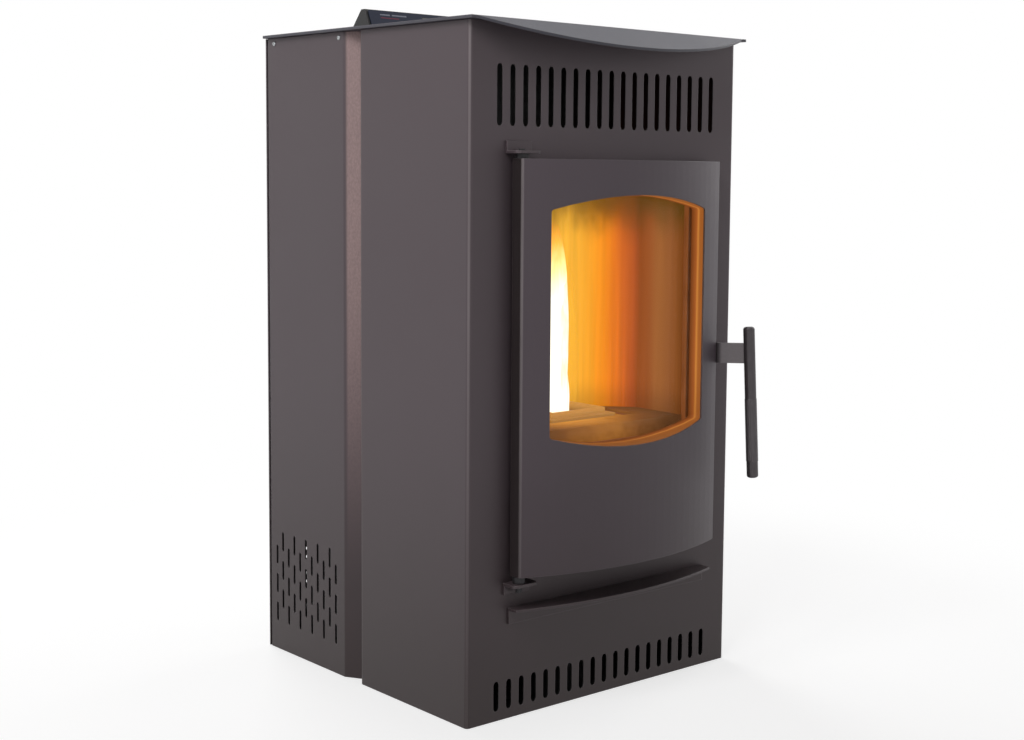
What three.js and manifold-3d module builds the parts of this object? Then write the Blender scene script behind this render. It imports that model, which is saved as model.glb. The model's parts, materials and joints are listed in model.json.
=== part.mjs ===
// A compact pellet stove: a folded steel cabinet with a bowed, glazed fire door, a hopper above an
// inclined feed auger, a firebox with its burn pot and ash pan, two blowers and a small console.
// Millimetres. +Z is up, the door faces -Y, +X is to the right of someone facing the door.
// The origin is on the floor, under the middle of the cabinet, and y = 0 is the joint between the
// front and rear cabinet sections.

import * as THREE from "three";
import { mergeVertices } from "three/addons/utils/BufferGeometryUtils.js";
import Module from "manifold-3d";

const wasm = await Module();
wasm.setup();

// ---------------------------------------------------------------- driving dimensions

// cabinet
const cabinetWidth = 451;
const frontDepth = 227.2;
const rearDepth = 227.4;
const cabinetHeight = 852;
const panelSheet = 2;
const panelBend = 2.5;
const seatGap = 0.3;
const jointReturn = 25;
const grooveDepth = 21.5;
const grooveRun = 36;
const rearFlange = 16;
const basePlate = 3;
const basePlateRim = 9;

// top plate with its drooping front lip
const topPlate = 3.5;
const topOverhangSide = 7.5;
const topOverhangFront = 13;
const topRearSetback = 2;
const lipWidth = 453;
const lipReach = 60;
const lipDroop = 27;

// rows of warm-air slots in the front
const slotPitch = 20;
const slotCount = 19;
const slotWidth = 8.3;
const upperSlotLow = 726;
const upperSlotHigh = 800;
const lowerSlotLow = 11.7;
const lowerSlotHigh = 50;

// staggered slots in the rear sides
const ventColumns = 11;
const ventRows = 3;
const ventPitch = 14.75;
const ventRowPitch = 40.5;
const ventSlot = 28.5;
const ventSlotWidth = 5;
const ventFirstY = 58;
const ventFirstZ = 39;

// fire door
const doorCentreX = 7;
const doorWidth = 340;
const doorLow = 180.5;
const doorHigh = 688;
const doorStand = 4.4;
const doorEdgeDepth = 17.9;
const doorBow = 35;
const doorBackY = -frontDepth - doorStand;
const doorEdgeFrontY = doorBackY - doorEdgeDepth;
const doorSkin = 2.5;
const doorCornerRadius = 3.5;
const windowLeft = -128;
const windowRight = 133.4;
const windowLow = 350;
const windowHigh = 627;
const windowRise = 18;
const windowCorner = 4;
const surroundWall = 2;
const glassSetting = 9.4;
const glassFrontY = doorBackY - glassSetting;
const glassThickness = 5;
const glassMargin = 9;
const glassCorner = 6;
const innerFrame = 2.5;
const gasketWidth = 12;
const openClearance = 1.5;

// hinge
const hingeX = -156;
const hingeSetting = 8.4;
const hingeY = doorBackY - hingeSetting;
const hingePinRadius = 4;
const hingePinFit = 0.35;
const upperTabLow = 694;
const lowerTabLow = 168.5;
const hingeTab = 3.5;
const hingeBracketWidth = 38;
const hingeBracketHeight = 15;

// latch
const latchSetting = 9.4;
const latchPivotY = doorBackY - latchSetting;
const latchPivotZ = 433.5;
const latchPivotRadius = 4;
const latchBar = 5;
const latchBarHeight = 27;
const latchHookReach = 37;
const latchHookTooth = 7;
const catchRadius = 4;
const rodX = 208;
const rodReach = 40;
const rodY = latchPivotY - rodReach;
const rodRadius = 7.8;
const rodLow = 266;
const rodHigh = 469;
const rodLean = 3.5;
const rodGripLow = 288;
const rodGripHigh = 373;
const rodGripRise = 0.4;

// hearth shelf
const shelfTop = 139.5;
const shelfSheet = 3;
const shelfEdgeReach = 16.8;
const shelfEdgeY = -frontDepth - shelfEdgeReach;
const shelfBow = 26;
const shelfFlange = 20;

// firebox and what stands in it
const fireboxInnerWidth = 270;
const fireboxLow = 217;
const fireboxMouthHigh = 651;
const fireboxHigh = 700;
const fireboxWall = 3;
const fireboxBackY = -46;
const mouthLand = 22;
const linerSheet = 3;
const linerFoldY = -137;
const linerBackY = -62;
const linerBackWidth = 132;
const linerHigh = 640;
const hearthPlateTop = 350;
const hearthPlate = 3;
const hearthFlange = 46;
const potCentreY = -128;
const potWidth = 92;
const potDepth = 72;
const potHeight = 52;
const potWall = 4;
const potUpstand = 7;
const potFlange = 10;
const potHole = 3;
const ashPanHeight = 74;
const ashPanSheet = 1.5;
const heatTubeCount = 5;
const heatTubeRadius = 16;
const heatTubeWall = 2;
const heatTubeZ = 676;
const heatTubePitch = 48;

// feed
const augerSlope = 50;
const augerTopY = -8;
const augerTopZ = 515;
const augerTubeLength = 190;
const augerTubeRadius = 29;
const augerTubeWall = 2;
const augerFlightRadius = 25;
const augerShaftRadius = 8;
const augerPitch = 42;
const augerFlight = 3;
const augerMotorLength = 84;
const augerMotorRadius = 36;
const hopperWidth = 330;
const hopperFrontY = -18;
const hopperBackGap = 31.4;
const hopperBackY = rearDepth - hopperBackGap;
const hopperStraightLow = 640;
const hopperThroatWidth = 68;
const hopperThroatFrontY = 52;
const hopperThroatBackY = 100;
const hopperThroatZ = 500;
const hopperSheet = 1.5;
const hopperMouthWidth = 280;
const hopperMouthFrontY = -14;
const hopperMouthSetback = 133.4;
const hopperMouthBackY = rearDepth - hopperMouthSetback;
const chuteWidth = 56;
const chuteHeight = 44;
const chuteSheet = 1.5;
const chuteLength = 104;
const chuteTopStep = 4;
const chuteTopDrop = 35;

// hopper lid
const lidMargin = 10;
const lidHeight = 9;
const lidSheet = 1.5;
const lidGasketWidth = 7;
const lidHingeStand = 16.5;
const lidHingeY = hopperMouthBackY + lidHingeStand;
const lidHingeRise = 5.5;
const lidHingeZ = cabinetHeight + lidHingeRise;
const lidHingeInset = 62;
const lidHingePinRadius = 1.8;
const lidKnuckleRadius = 3.6;
const lidKnuckle = 22;

// blowers and flues
const exhaustBlowerX = 120;
const exhaustBlowerY = 75;
const exhaustBlowerZ = 118;
const exhaustScroll = 54;
const exhaustScrollGrowth = 30;
const exhaustBlowerWidth = 50;
const fluePipeRadius = 38.1;
const fluePipeWall = 2;
const fluePipeReach = 50;
const flueZ = 176;
const intakePipeRadius = 25;
const intakePipeWall = 1.8;
const intakePipeX = -72;
const intakePipeZ = 246;
const intakePipeReach = 34;
const roomBlowerX = -166;
const roomBlowerBackGap = 99.4;
const roomBlowerY = rearDepth - roomBlowerBackGap;
const roomBlowerZ = 100;
const roomScroll = 50;
const roomScrollGrowth = 26;
const roomBlowerWidth = 54;
const blowerSheet = 1.5;
const blowerMotorRadius = 34;
const blowerMotorLength = 40;
const impellerBlades = 12;
const exhaustDuctWidth = 34;
const exhaustDuctHalf = 44;
const exhaustDuctMargin = 10;
const exhaustDuctKneeY = 0;
const exhaustDuctBackRise = 72;
const exhaustDuctFrontRise = 52;
const cradleHalf = 18;
const cradleSheet = 2;
const standSheet = 2.5;
const standHalf = 105;
const standFoot = 25;
const standInset = 15;

// console
const consoleSideSetback = 15;
const consoleSideDraft = 3;
const consoleBaseWidth = hopperMouthWidth - 2 * consoleSideSetback;
const consoleTopWidth = consoleBaseWidth - 2 * consoleSideDraft;
const consoleHeight = 39;
const consoleRidgeSetback = 30.5;
const consoleRidgeY = lidHingeY + consoleRidgeSetback;
const consoleTopDepth = 8;
const consoleBaseDepth = 60;
const consoleTilt = 60;
const consoleSheet = 2;
const faceSheet = 1.2;
const faceMargin = 4;
const buttonCount = 4;
const buttonRadius = 5;
const buttonPitch = 26;
const buttonStand = 1.6;
const buttonFit = 0.4;
const displayWidth = 58;
const displayHeight = 17;
const boardHalf = 64;
const boardMargin = 8;
const boardSheet = 1.6;
const relaySize = [14, 12, 9];
const boardPost = 2.5;

// ---------------------------------------------------------------- finishes

const finish = (color, roughness, metalness, more = {}) =>
  new THREE.MeshStandardMaterial({ color, roughness, metalness, ...more });
const finishes = {
  cabinetPaint: finish(0x554c4f, 0.55, 0.45),
  doorPaint: finish(0x4b464a, 0.5, 0.45),
  blackSteel: finish(0x232224, 0.6, 0.6),
  barSteel: finish(0x6a6668, 0.45, 0.8),
  zinc: finish(0xa9adb0, 0.35, 0.9),
  castIron: finish(0x3a3735, 0.8, 0.5),
  firedSteel: finish(0x8a5a2e, 0.6, 0.5),
  glass: finish(0xf0b060, 0.05, 0, { transparent: true, opacity: 0.35 }),
  rope: finish(0x3b3a38, 0.95, 0),
  navy: finish(0x1d2a44, 0.4, 0),
  plastic: finish(0x1b1b1d, 0.5, 0),
  board: finish(0x1f5a38, 0.5, 0.1),
  motor: finish(0x77797b, 0.5, 0.7),
};

// ---------------------------------------------------------------- shape tools

// facets around round pieces: fine where they show, coarse inside the cabinet
const fineSides = 20;
const innerSides = 10;
const tubeSides = 8;
const boreSides = 14;

const degrees = THREE.MathUtils.degToRad;
const point = (x, y) => new THREE.Vector2(x, y);

function solidOf(geometry) {
  const bare = geometry.clone();
  bare.deleteAttribute("normal");
  bare.deleteAttribute("uv");
  const merged = mergeVertices(bare);
  return new wasm.Manifold(new wasm.Mesh({
    numProp: 3,
    vertProperties: new Float32Array(merged.attributes.position.array),
    triVerts: new Uint32Array(merged.index.array),
  }));
}

function geometryOf(solid) {
  const mesh = solid.getMesh();
  const geometry = new THREE.BufferGeometry();
  geometry.setAttribute("position", new THREE.BufferAttribute(mesh.vertProperties, 3));
  geometry.setIndex(new THREE.BufferAttribute(mesh.triVerts, 1));
  geometry.computeVertexNormals();
  return geometry;
}

const join = (solids) => solids.reduce((whole, piece) => whole.add(piece));
const cut = (solid, tools) => tools.reduce((rest, tool) => rest.subtract(tool), solid);

// An outline drawn in two axes, swept along the third.
function alongZ(outline, from, to) {
  const sweep = new THREE.ExtrudeGeometry(outline, { depth: to - from, bevelEnabled: false });
  return solidOf(sweep.translate(0, 0, from));
}

function alongY(outline, from, to) {
  const sweep = new THREE.ExtrudeGeometry(outline, { depth: to - from, bevelEnabled: false });
  return solidOf(sweep.rotateX(Math.PI / 2).translate(0, to, 0));
}

const yzToX = new THREE.Matrix4().makeBasis(
  new THREE.Vector3(0, 1, 0),
  new THREE.Vector3(0, 0, 1),
  new THREE.Vector3(1, 0, 0),
);

function alongX(outline, from, to) {
  const sweep = new THREE.ExtrudeGeometry(outline, { depth: to - from, bevelEnabled: false });
  return solidOf(sweep.applyMatrix4(yzToX).translate(from, 0, 0));
}

const block = ([x0, x1], [y0, y1], [z0, z1]) => alongZ(rectangle([x0, x1], [y0, y1]), z0, z1);

const outlineOf = (points) => new THREE.Shape(points);

function rectangle([a0, a1], [b0, b1]) {
  return outlineOf([point(a0, b0), point(a1, b0), point(a1, b1), point(a0, b1)]);
}

function circlePoints(radius, sides, a = 0, b = 0) {
  return Array.from({ length: sides }, (_, index) => {
    const angle = (2 * Math.PI * (index + 0.5)) / sides;
    return point(a + radius * Math.cos(angle), b + radius * Math.sin(angle));
  });
}

const disc = (radius, sides, a = 0, b = 0) => outlineOf(circlePoints(radius, sides, a, b));

function ring(outer, inner, sides, a = 0, b = 0) {
  const shape = disc(outer, sides, a, b);
  shape.holes.push(new THREE.Path(circlePoints(inner, sides, a, b)));
  return shape;
}

// Rounds the corners of a closed outline; a corner may bring a radius of its own.
function filleted(corners, radius, steps = 4) {
  const points = [];
  corners.forEach(([a, b, own = radius], index) => {
    const corner = point(a, b);
    if (own <= 0) {
      points.push(corner);
      return;
    }
    const before = corners[(index + corners.length - 1) % corners.length];
    const after = corners[(index + 1) % corners.length];
    const arriving = corner.clone().sub(point(before[0], before[1])).normalize();
    const leaving = point(after[0], after[1]).sub(corner).normalize();
    points.push(...bendPoints(corner, arriving, leaving, own, steps).map((sample) => sample.at));
  });
  return points;
}

// Samples the arc that replaces a corner, each with the direction of travel there.
function bendPoints(corner, arriving, leaving, radius, steps) {
  const turn = Math.atan2(arriving.cross(leaving), arriving.dot(leaving));
  const side = Math.sign(turn);
  const reach = radius * Math.tan(Math.abs(turn) / 2);
  const start = corner.clone().addScaledVector(arriving, -reach);
  const centre = start.clone().addScaledVector(leftOf(arriving), side * radius);
  return Array.from({ length: steps + 1 }, (_, index) => {
    const along = arriving.clone().rotateAround(point(0, 0), (turn * index) / steps);
    return { at: centre.clone().addScaledVector(leftOf(along), -side * radius), along };
  });
}

const leftOf = (direction) => point(-direction.y, direction.x);

// The section of a sheet folded along a path through the middle of its thickness.
function bentSheet(path, thickness, insideRadius, steps = 3) {
  const samples = [];
  path.forEach(([a, b], index) => {
    const here = point(a, b);
    const next = path[index + 1];
    const last = path[index - 1];
    const leaving = next && point(next[0], next[1]).sub(here).normalize();
    const arriving = last && here.clone().sub(point(last[0], last[1])).normalize();
    if (arriving && leaving) {
      samples.push(...bendPoints(here, arriving, leaving, insideRadius + thickness / 2, steps));
    } else {
      samples.push({ at: here, along: leaving ?? arriving });
    }
  });
  const offset = ({ at, along }, distance) => at.clone().addScaledVector(leftOf(along), distance);
  const left = samples.map((sample) => offset(sample, thickness / 2));
  const right = samples.map((sample) => offset(sample, -thickness / 2));
  return outlineOf([...right, ...left.reverse()]);
}

// An upright slot with round ends.
function slot(centre, low, high, width, steps = 3) {
  const half = width / 2;
  const end = (middle, from) => Array.from({ length: steps + 1 }, (_, index) => {
    const angle = from + (Math.PI * index) / steps;
    return point(centre + half * Math.cos(angle), middle + half * Math.sin(angle));
  });
  return outlineOf([...end(high - half, 0), ...end(low + half, Math.PI)]);
}

// Points of a shallow arc from one end of a chord to the other, bulging to the left of travel.
function bowPoints(from, to, rise, steps) {
  const chord = to.clone().sub(from);
  const half = chord.length() / 2;
  const radius = (half * half + rise * rise) / (2 * Math.abs(rise));
  const side = leftOf(chord.clone().normalize()).multiplyScalar(Math.sign(rise));
  const centre = from.clone().add(to).multiplyScalar(0.5).addScaledVector(side, Math.abs(rise) - radius);
  const sweep = 2 * Math.asin(half / radius);
  return Array.from({ length: steps + 1 }, (_, index) => {
    const angle = (sweep * (index / steps - 0.5)) * -Math.sign(rise);
    return centre.clone().add(side.clone().multiplyScalar(radius).rotateAround(point(0, 0), angle));
  });
}

// A skin over a row of rings of equally many 3-D points, closed at both ends by a fan.
function loft(rings) {
  const sides = rings[0].length;
  const positions = rings.flat().flatMap((corner) => corner.toArray());
  const faces = [];
  for (let row = 0; row + 1 < rings.length; row += 1) {
    for (let side = 0; side < sides; side += 1) {
      const a = row * sides + side;
      const b = row * sides + ((side + 1) % sides);
      faces.push(a, b, b + sides, a, b + sides, a + sides);
    }
  }
  const top = (rings.length - 1) * sides;
  for (let side = 1; side + 1 < sides; side += 1) {
    faces.push(0, side + 1, side, top, top + side, top + side + 1);
  }
  const geometry = new THREE.BufferGeometry();
  geometry.setAttribute("position", new THREE.Float32BufferAttribute(positions, 3));
  geometry.setIndex(faces);
  return solidOf(geometry);
}

const rectangleRing = ([x0, x1], [y0, y1], z) => [[x0, y0], [x1, y0], [x1, y1], [x0, y1]]
  .map(([x, y]) => new THREE.Vector3(x, y, z));

// ---------------------------------------------------------------- scene

const stove = new THREE.Group();

function add(name, material, solid, parent = stove) {
  const mesh = new THREE.Mesh(geometryOf(solid), material);
  mesh.name = name;
  parent.add(mesh);
  return mesh;
}

function group(x, y, z, parent = stove) {
  const child = new THREE.Group();
  child.position.set(x, y, z);
  parent.add(child);
  return child;
}

// ---------------------------------------------------------------- cabinet

const halfWidth = cabinetWidth / 2;
const sheetMiddle = panelSheet / 2;
const bodyTop = cabinetHeight - topPlate - seatGap;
const frontPanelBackY = -frontDepth + panelSheet;
const mouthHalf = fireboxInnerWidth / 2;
const mouthFlangeHalf = mouthHalf + mouthLand;
const mouthFlangeLow = fireboxLow - mouthLand;
const mouthFlangeHigh = fireboxMouthHigh + mouthLand;
const doorHalf = doorWidth / 2;
const doorRight = doorCentreX + doorHalf;
const latchX = doorRight + 1.6;
const hookSlotX = [latchX - 2.4, latchX + latchBar + 3.4];
const hookSlotZ = [latchPivotZ - 50, latchPivotZ + 18];

function frontWrap() {
  const returnY = -seatGap / 2 - sheetMiddle;
  const sideX = halfWidth - sheetMiddle;
  const frontY = -frontDepth + sheetMiddle;
  const section = bentSheet([
    [-halfWidth + jointReturn, returnY],
    [-sideX, returnY],
    [-sideX, frontY],
    [sideX, frontY],
    [sideX, returnY],
    [halfWidth - jointReturn, returnY],
  ], panelSheet, panelBend);
  const through = [-frontDepth - panelSheet, frontPanelBackY + panelSheet];
  const openings = [];
  for (let index = 0; index < slotCount; index += 1) {
    const centre = (index - (slotCount - 1) / 2) * slotPitch;
    openings.push(alongY(slot(centre, upperSlotLow, upperSlotHigh, slotWidth), ...through));
    openings.push(alongY(slot(centre, lowerSlotLow, lowerSlotHigh, slotWidth), ...through));
  }
  const mouthReach = mouthFlangeHalf + openClearance;
  openings.push(block(
    [doorCentreX - mouthReach, doorCentreX + mouthReach],
    through,
    [mouthFlangeLow - openClearance, mouthFlangeHigh + openClearance],
  ));
  openings.push(block(hookSlotX, through, hookSlotZ));
  return cut(alongZ(section, 0, bodyTop), openings);
}
add("cabinet_front_wrap", finishes.cabinetPaint, frontWrap());

const rearPanelFrontY = rearDepth - panelSheet;
const jointFlangeY = seatGap / 2 + sheetMiddle;

function rearSide(side) {
  const sideX = halfWidth - sheetMiddle;
  const groove = halfWidth - grooveDepth;
  const path = [
    [groove - jointReturn + 6, jointFlangeY],
    [groove, jointFlangeY],
    [sideX, grooveRun + sheetMiddle],
    [sideX, rearPanelFrontY - seatGap - sheetMiddle],
    [sideX - rearFlange, rearPanelFrontY - seatGap - sheetMiddle],
  ].map(([x, y]) => [side * x, y]);
  const panel = alongZ(bentSheet(path, panelSheet, panelBend), 0, bodyTop);
  const [inner, outer] = [halfWidth - 2 * panelSheet, halfWidth + panelSheet].map((x) => side * x);
  const through = [Math.min(inner, outer), Math.max(inner, outer)];
  const vents = [];
  for (let column = 0; column < ventColumns; column += 1) {
    const stagger = column % 2 ? 0 : ventRowPitch / 2;
    for (let row = 0; row < ventRows; row += 1) {
      const low = ventFirstZ + ventRowPitch / 2 - stagger + row * ventRowPitch;
      const outline = slot(ventFirstY + column * ventPitch, low, low + ventSlot, ventSlotWidth, 2);
      vents.push(alongX(outline, ...through));
    }
  }
  return cut(panel, vents);
}
add("rear_side_left", finishes.cabinetPaint, rearSide(-1));
add("rear_side_right", finishes.cabinetPaint, rearSide(1));

const inletX = -178;
const inletZ = 226;
const inletWidth = 27;
const inletHeight = 20;

function rearPanel() {
  const through = [rearPanelFrontY - panelSheet, rearDepth + panelSheet];
  const plate = block([-halfWidth, halfWidth], [rearPanelFrontY, rearDepth], [0, bodyTop]);
  const openings = [
    alongY(disc(fluePipeRadius + openClearance, fineSides, exhaustBlowerX, flueZ), ...through),
    alongY(disc(intakePipeRadius + openClearance, fineSides, intakePipeX, intakePipeZ), ...through),
    block(
      [inletX - inletWidth / 2, inletX + inletWidth / 2],
      through,
      [inletZ - inletHeight / 2, inletZ + inletHeight / 2],
    ),
  ];
  const louvreRows = 6;
  const louvrePitch = 12;
  const louvreHalf = 44;
  for (let row = 0; row < louvreRows; row += 1) {
    const z = roomBlowerZ + (row - (louvreRows - 1) / 2) * louvrePitch;
    openings.push(block(
      [roomBlowerX + 40 - louvreHalf, roomBlowerX + 40 + louvreHalf],
      through,
      [z - 2, z + 2],
    ));
  }
  return cut(plate, openings);
}
add("rear_panel", finishes.cabinetPaint, rearPanel());

function basePan() {
  const front = frontPanelBackY + seatGap;
  const back = rearPanelFrontY - panelSheet - 2 * seatGap;
  const wide = halfWidth - panelSheet - seatGap;
  const narrow = halfWidth - grooveDepth - jointReturn;
  const cornerClear = panelBend + 1.5;
  const notchFront = -2 * panelSheet - panelBend;
  const notchBack = grooveRun + 8;
  const flangeFront = back - cornerClear;
  const right = [
    [wide, front, cornerClear],
    [wide, notchFront],
    [narrow, notchFront],
    [narrow, notchBack],
    [wide, notchBack],
    [wide, flangeFront],
    [wide - rearFlange - panelSheet, flangeFront],
    [wide - rearFlange - panelSheet, back],
  ];
  const left = right.map(([x, y, corner]) => [-x, y, corner]).reverse();
  const plate = outlineOf(filleted([...right, ...left], 0));
  const sideRims = [-1, 1].map((side) => {
    const edges = [side * wide, side * (wide - panelSheet)].sort((a, b) => a - b);
    return block(edges, [front + cornerClear, notchFront], [0, basePlateRim]);
  });
  const frontRim = block(
    [-wide + cornerClear, wide - cornerClear],
    [front, front + panelSheet],
    [0, basePlateRim],
  );
  return join([alongZ(plate, 0, basePlate), frontRim, ...sideRims]);
}
add("base_plate", finishes.blackSteel, basePan());

// The top plate carries a lip along its front: a segment of a plate, bent down at the bend line.
const plateLow = cabinetHeight - topPlate;
const lidCentreY = (hopperMouthFrontY + hopperMouthBackY) / 2;

function topPlateSolid() {
  const bendY = -frontDepth - topOverhangFront;
  const plateHalf = halfWidth + topOverhangSide;
  const outline = outlineOf(filleted([
    [-plateHalf, bendY, 0],
    [plateHalf, bendY, 0],
    [plateHalf, rearDepth - topRearSetback],
    [-plateHalf, rearDepth - topRearSetback],
  ], 4));
  const mouth = block(
    [-hopperMouthWidth / 2, hopperMouthWidth / 2],
    [hopperMouthFrontY, hopperMouthBackY],
    [plateLow - topPlate, cabinetHeight + topPlate],
  );
  const lipEdge = bowPoints(point(-lipWidth / 2, 0), point(lipWidth / 2, 0), -lipReach, 28);
  const lipOutline = outlineOf([...lipEdge, point(lipWidth / 2, topPlate), point(-lipWidth / 2, topPlate)]);
  const lip = new THREE.ExtrudeGeometry(lipOutline, { depth: topPlate, bevelEnabled: false });
  lip.translate(0, 0, -topPlate).rotateX(degrees(lipDroop)).translate(0, bendY, cabinetHeight);
  const lipBack = block(
    [-plateHalf, plateHalf],
    [bendY, bendY + 2 * topPlate],
    [plateLow - 2 * topPlate, cabinetHeight + 2 * topPlate],
  );
  return cut(alongZ(outline, plateLow, cabinetHeight), [mouth]).add(solidOf(lip).subtract(lipBack));
}
add("top_plate", finishes.cabinetPaint, topPlateSolid());

function hearthShelf() {
  const back = -frontDepth - seatGap;
  const bow = bowPoints(point(-doorHalf, shelfEdgeY), point(doorHalf, shelfEdgeY), -shelfBow, 20);
  const outline = outlineOf([...bow, point(doorHalf, back), point(-doorHalf, back)]);
  const flange = block([-doorHalf, doorHalf], [back - shelfSheet, back], [shelfTop - shelfFlange, shelfTop]);
  return alongZ(outline, shelfTop - shelfSheet, shelfTop).add(flange);
}
const doorLine = group(doorCentreX, 0, 0);
add("hearth_shelf", finishes.cabinetPaint, hearthShelf(), doorLine);

// ---------------------------------------------------------------- fire door

const door = group(doorCentreX, 0, 0);
const windowCentre = (windowLeft + windowRight) / 2 - doorCentreX;
const windowHalf = (windowRight - windowLeft) / 2;

// The plan of the door: side walls from the back plane, and a bowed front between them.
function doorPlan(inset, back) {
  const half = doorHalf - inset;
  const radius = (doorHalf * doorHalf + doorBow * doorBow) / (2 * doorBow);
  const centreY = doorEdgeFrontY - doorBow + radius;
  const steps = 24;
  const front = Array.from({ length: steps + 1 }, (_, index) => {
    const x = half * ((2 * index) / steps - 1);
    const isEnd = index === 0 || index === steps;
    const corner = isEnd ? Math.max(doorCornerRadius - inset, 0.5) : 0;
    return [x, centreY - Math.sqrt((radius - inset) ** 2 - x * x), corner];
  });
  return outlineOf(filleted([[-half, back, 0], ...front, [half, back, 0]], 0));
}

// The window: straight sides, arched top and bottom.
function windowOutline(grow) {
  const half = windowHalf + grow;
  const at = (side, z) => point(windowCentre + side * half, z);
  const lower = bowPoints(at(-1, windowLow - grow), at(1, windowLow - grow), -windowRise, 10);
  const upper = bowPoints(at(1, windowHigh + grow), at(-1, windowHigh + grow), -windowRise, 10);
  const arch = (points) => points.map((sample, index) => {
    const isEnd = index === 0 || index === points.length - 1;
    return [sample.x, sample.y, isEnd ? windowCorner + grow : 0];
  });
  return outlineOf(filleted([...arch(lower), ...arch(upper)], 0, 3));
}

const windowCut = (grow) => alongY(windowOutline(grow), doorEdgeFrontY - 2 * doorBow, glassFrontY + 0.2);

function doorSkinSolid() {
  const shell = alongZ(doorPlan(0, doorBackY), doorLow, doorHigh);
  const hollow = alongZ(doorPlan(doorSkin, doorBackY + doorSkin), doorLow + doorSkin, doorHigh - doorSkin);
  const boltHole = alongX(
    disc(latchPivotRadius + 0.1, boreSides, latchPivotY, latchPivotZ),
    doorHalf - 2 * doorSkin,
    doorHalf + doorSkin,
  );
  return cut(shell, [hollow, windowCut(0), boltHole]);
}
add("door_skin", finishes.doorPaint, doorSkinSolid(), door);

function windowSurround() {
  const tube = windowCut(surroundWall).subtract(windowCut(0));
  const inside = alongZ(
    doorPlan(doorSkin + seatGap, doorBackY),
    doorLow + doorSkin,
    doorHigh - doorSkin,
  );
  const behind = block(
    [-doorHalf, doorHalf],
    [glassFrontY - seatGap, 0],
    [doorLow, doorHigh],
  );
  return tube.intersect(inside).subtract(behind);
}
add("window_surround", finishes.firedSteel, windowSurround(), door);

const glassHalf = windowHalf + glassMargin;
const glassLow = windowLow - windowRise - glassMargin;
const glassHigh = windowHigh + windowRise + glassMargin;
const glassBackY = glassFrontY + glassThickness;

function glassOutline(inset) {
  const corner = glassCorner - inset / 3;
  return filleted([
    [windowCentre - glassHalf + inset, glassLow + inset],
    [windowCentre + glassHalf - inset, glassLow + inset],
    [windowCentre + glassHalf - inset, glassHigh - inset],
    [windowCentre - glassHalf + inset, glassHigh - inset],
  ], corner);
}
add("door_glass", finishes.glass, alongY(outlineOf(glassOutline(0)), glassFrontY, glassBackY), door);

const innerFrameFrontY = doorBackY - innerFrame;
const glassSeat = 8;

function glassGasket() {
  const outline = outlineOf(glassOutline(0));
  outline.holes.push(new THREE.Path(glassOutline(glassSeat)));
  return alongY(outline, glassBackY + seatGap, innerFrameFrontY - seatGap);
}
add("glass_gasket", finishes.rope, glassGasket(), door);

// The frame behind the glass fills the back of the skin and keeps the pane in.
function doorInnerFrame() {
  const half = doorHalf - doorSkin - seatGap;
  const low = doorLow + doorSkin + seatGap;
  const high = doorHigh - doorSkin - seatGap;
  const outline = rectangle([-half, half], [low, high]);
  outline.holes.push(new THREE.Path(glassOutline(glassSeat + 1)));
  return alongY(outline, innerFrameFrontY, doorBackY);
}
add("door_inner_frame", finishes.blackSteel, doorInnerFrame(), door);

function ropeGasket() {
  const front = doorBackY + seatGap;
  const back = -frontDepth - 0.7 - seatGap;
  const middle = mouthLand / 2;
  const loop = (offset) => filleted([
    [-mouthHalf - middle - offset, fireboxLow - middle - offset],
    [mouthHalf + middle + offset, fireboxLow - middle - offset],
    [mouthHalf + middle + offset, fireboxMouthHigh + middle + offset],
    [-mouthHalf - middle - offset, fireboxMouthHigh + middle + offset],
  ], 14 + offset, 5);
  const outline = outlineOf(loop(gasketWidth / 2));
  outline.holes.push(new THREE.Path(loop(-gasketWidth / 2)));
  return alongY(outline, front, back);
}
add("door_rope_gasket", finishes.rope, ropeGasket(), door);

// Hinge pins stand on the top and bottom of the door and turn in the cabinet's brackets.
const pinHalf = 2;
const pinRadius = hingePinRadius;
const upperPin = [doorHigh + seatGap, upperTabLow + hingeTab + pinHalf];
const lowerPin = [lowerTabLow - 8, doorLow - seatGap];

// Each pin has a collar that takes up the room between the door and its bracket.
function hingePin(span, collar) {
  const at = (radius) => disc(radius, boreSides, hingeX, hingeY);
  return alongZ(at(pinRadius), ...span).add(alongZ(at(pinRadius + 4), ...collar));
}
const upperCollar = [doorHigh + seatGap, upperTabLow - seatGap];
const lowerCollar = [lowerTabLow + hingeTab + seatGap, doorLow - seatGap];
add("hinge_pin_upper", finishes.zinc, hingePin(upperPin, upperCollar));
add("hinge_pin_lower", finishes.zinc, hingePin(lowerPin, lowerCollar));

function hingeBracket(tabLow, flangeUp) {
  const back = -frontDepth - seatGap;
  const half = hingeBracketWidth / 2;
  const centre = hingeX + 4;
  const nose = hingeY - 11;
  const tab = outlineOf(filleted([
    [centre - half, back, 0],
    [centre - half, nose],
    [centre + half, nose],
    [centre + half, back, 0],
  ], 7));
  const flange = flangeUp
    ? [tabLow, tabLow + hingeBracketHeight]
    : [tabLow + hingeTab - hingeBracketHeight, tabLow + hingeTab];
  const hole = alongZ(
    disc(pinRadius + hingePinFit, boreSides, hingeX, hingeY),
    tabLow - hingeTab,
    tabLow + 2 * hingeTab,
  );
  const foot = block([centre - half, centre + half], [back - hingeTab, back], flange);
  return cut(alongZ(tab, tabLow, tabLow + hingeTab).add(foot), [hole]);
}
add("hinge_bracket_upper", finishes.blackSteel, hingeBracket(upperTabLow, true));
add("hinge_bracket_lower", finishes.blackSteel, hingeBracket(lowerTabLow, false));

// ---------------------------------------------------------------- door latch

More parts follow.
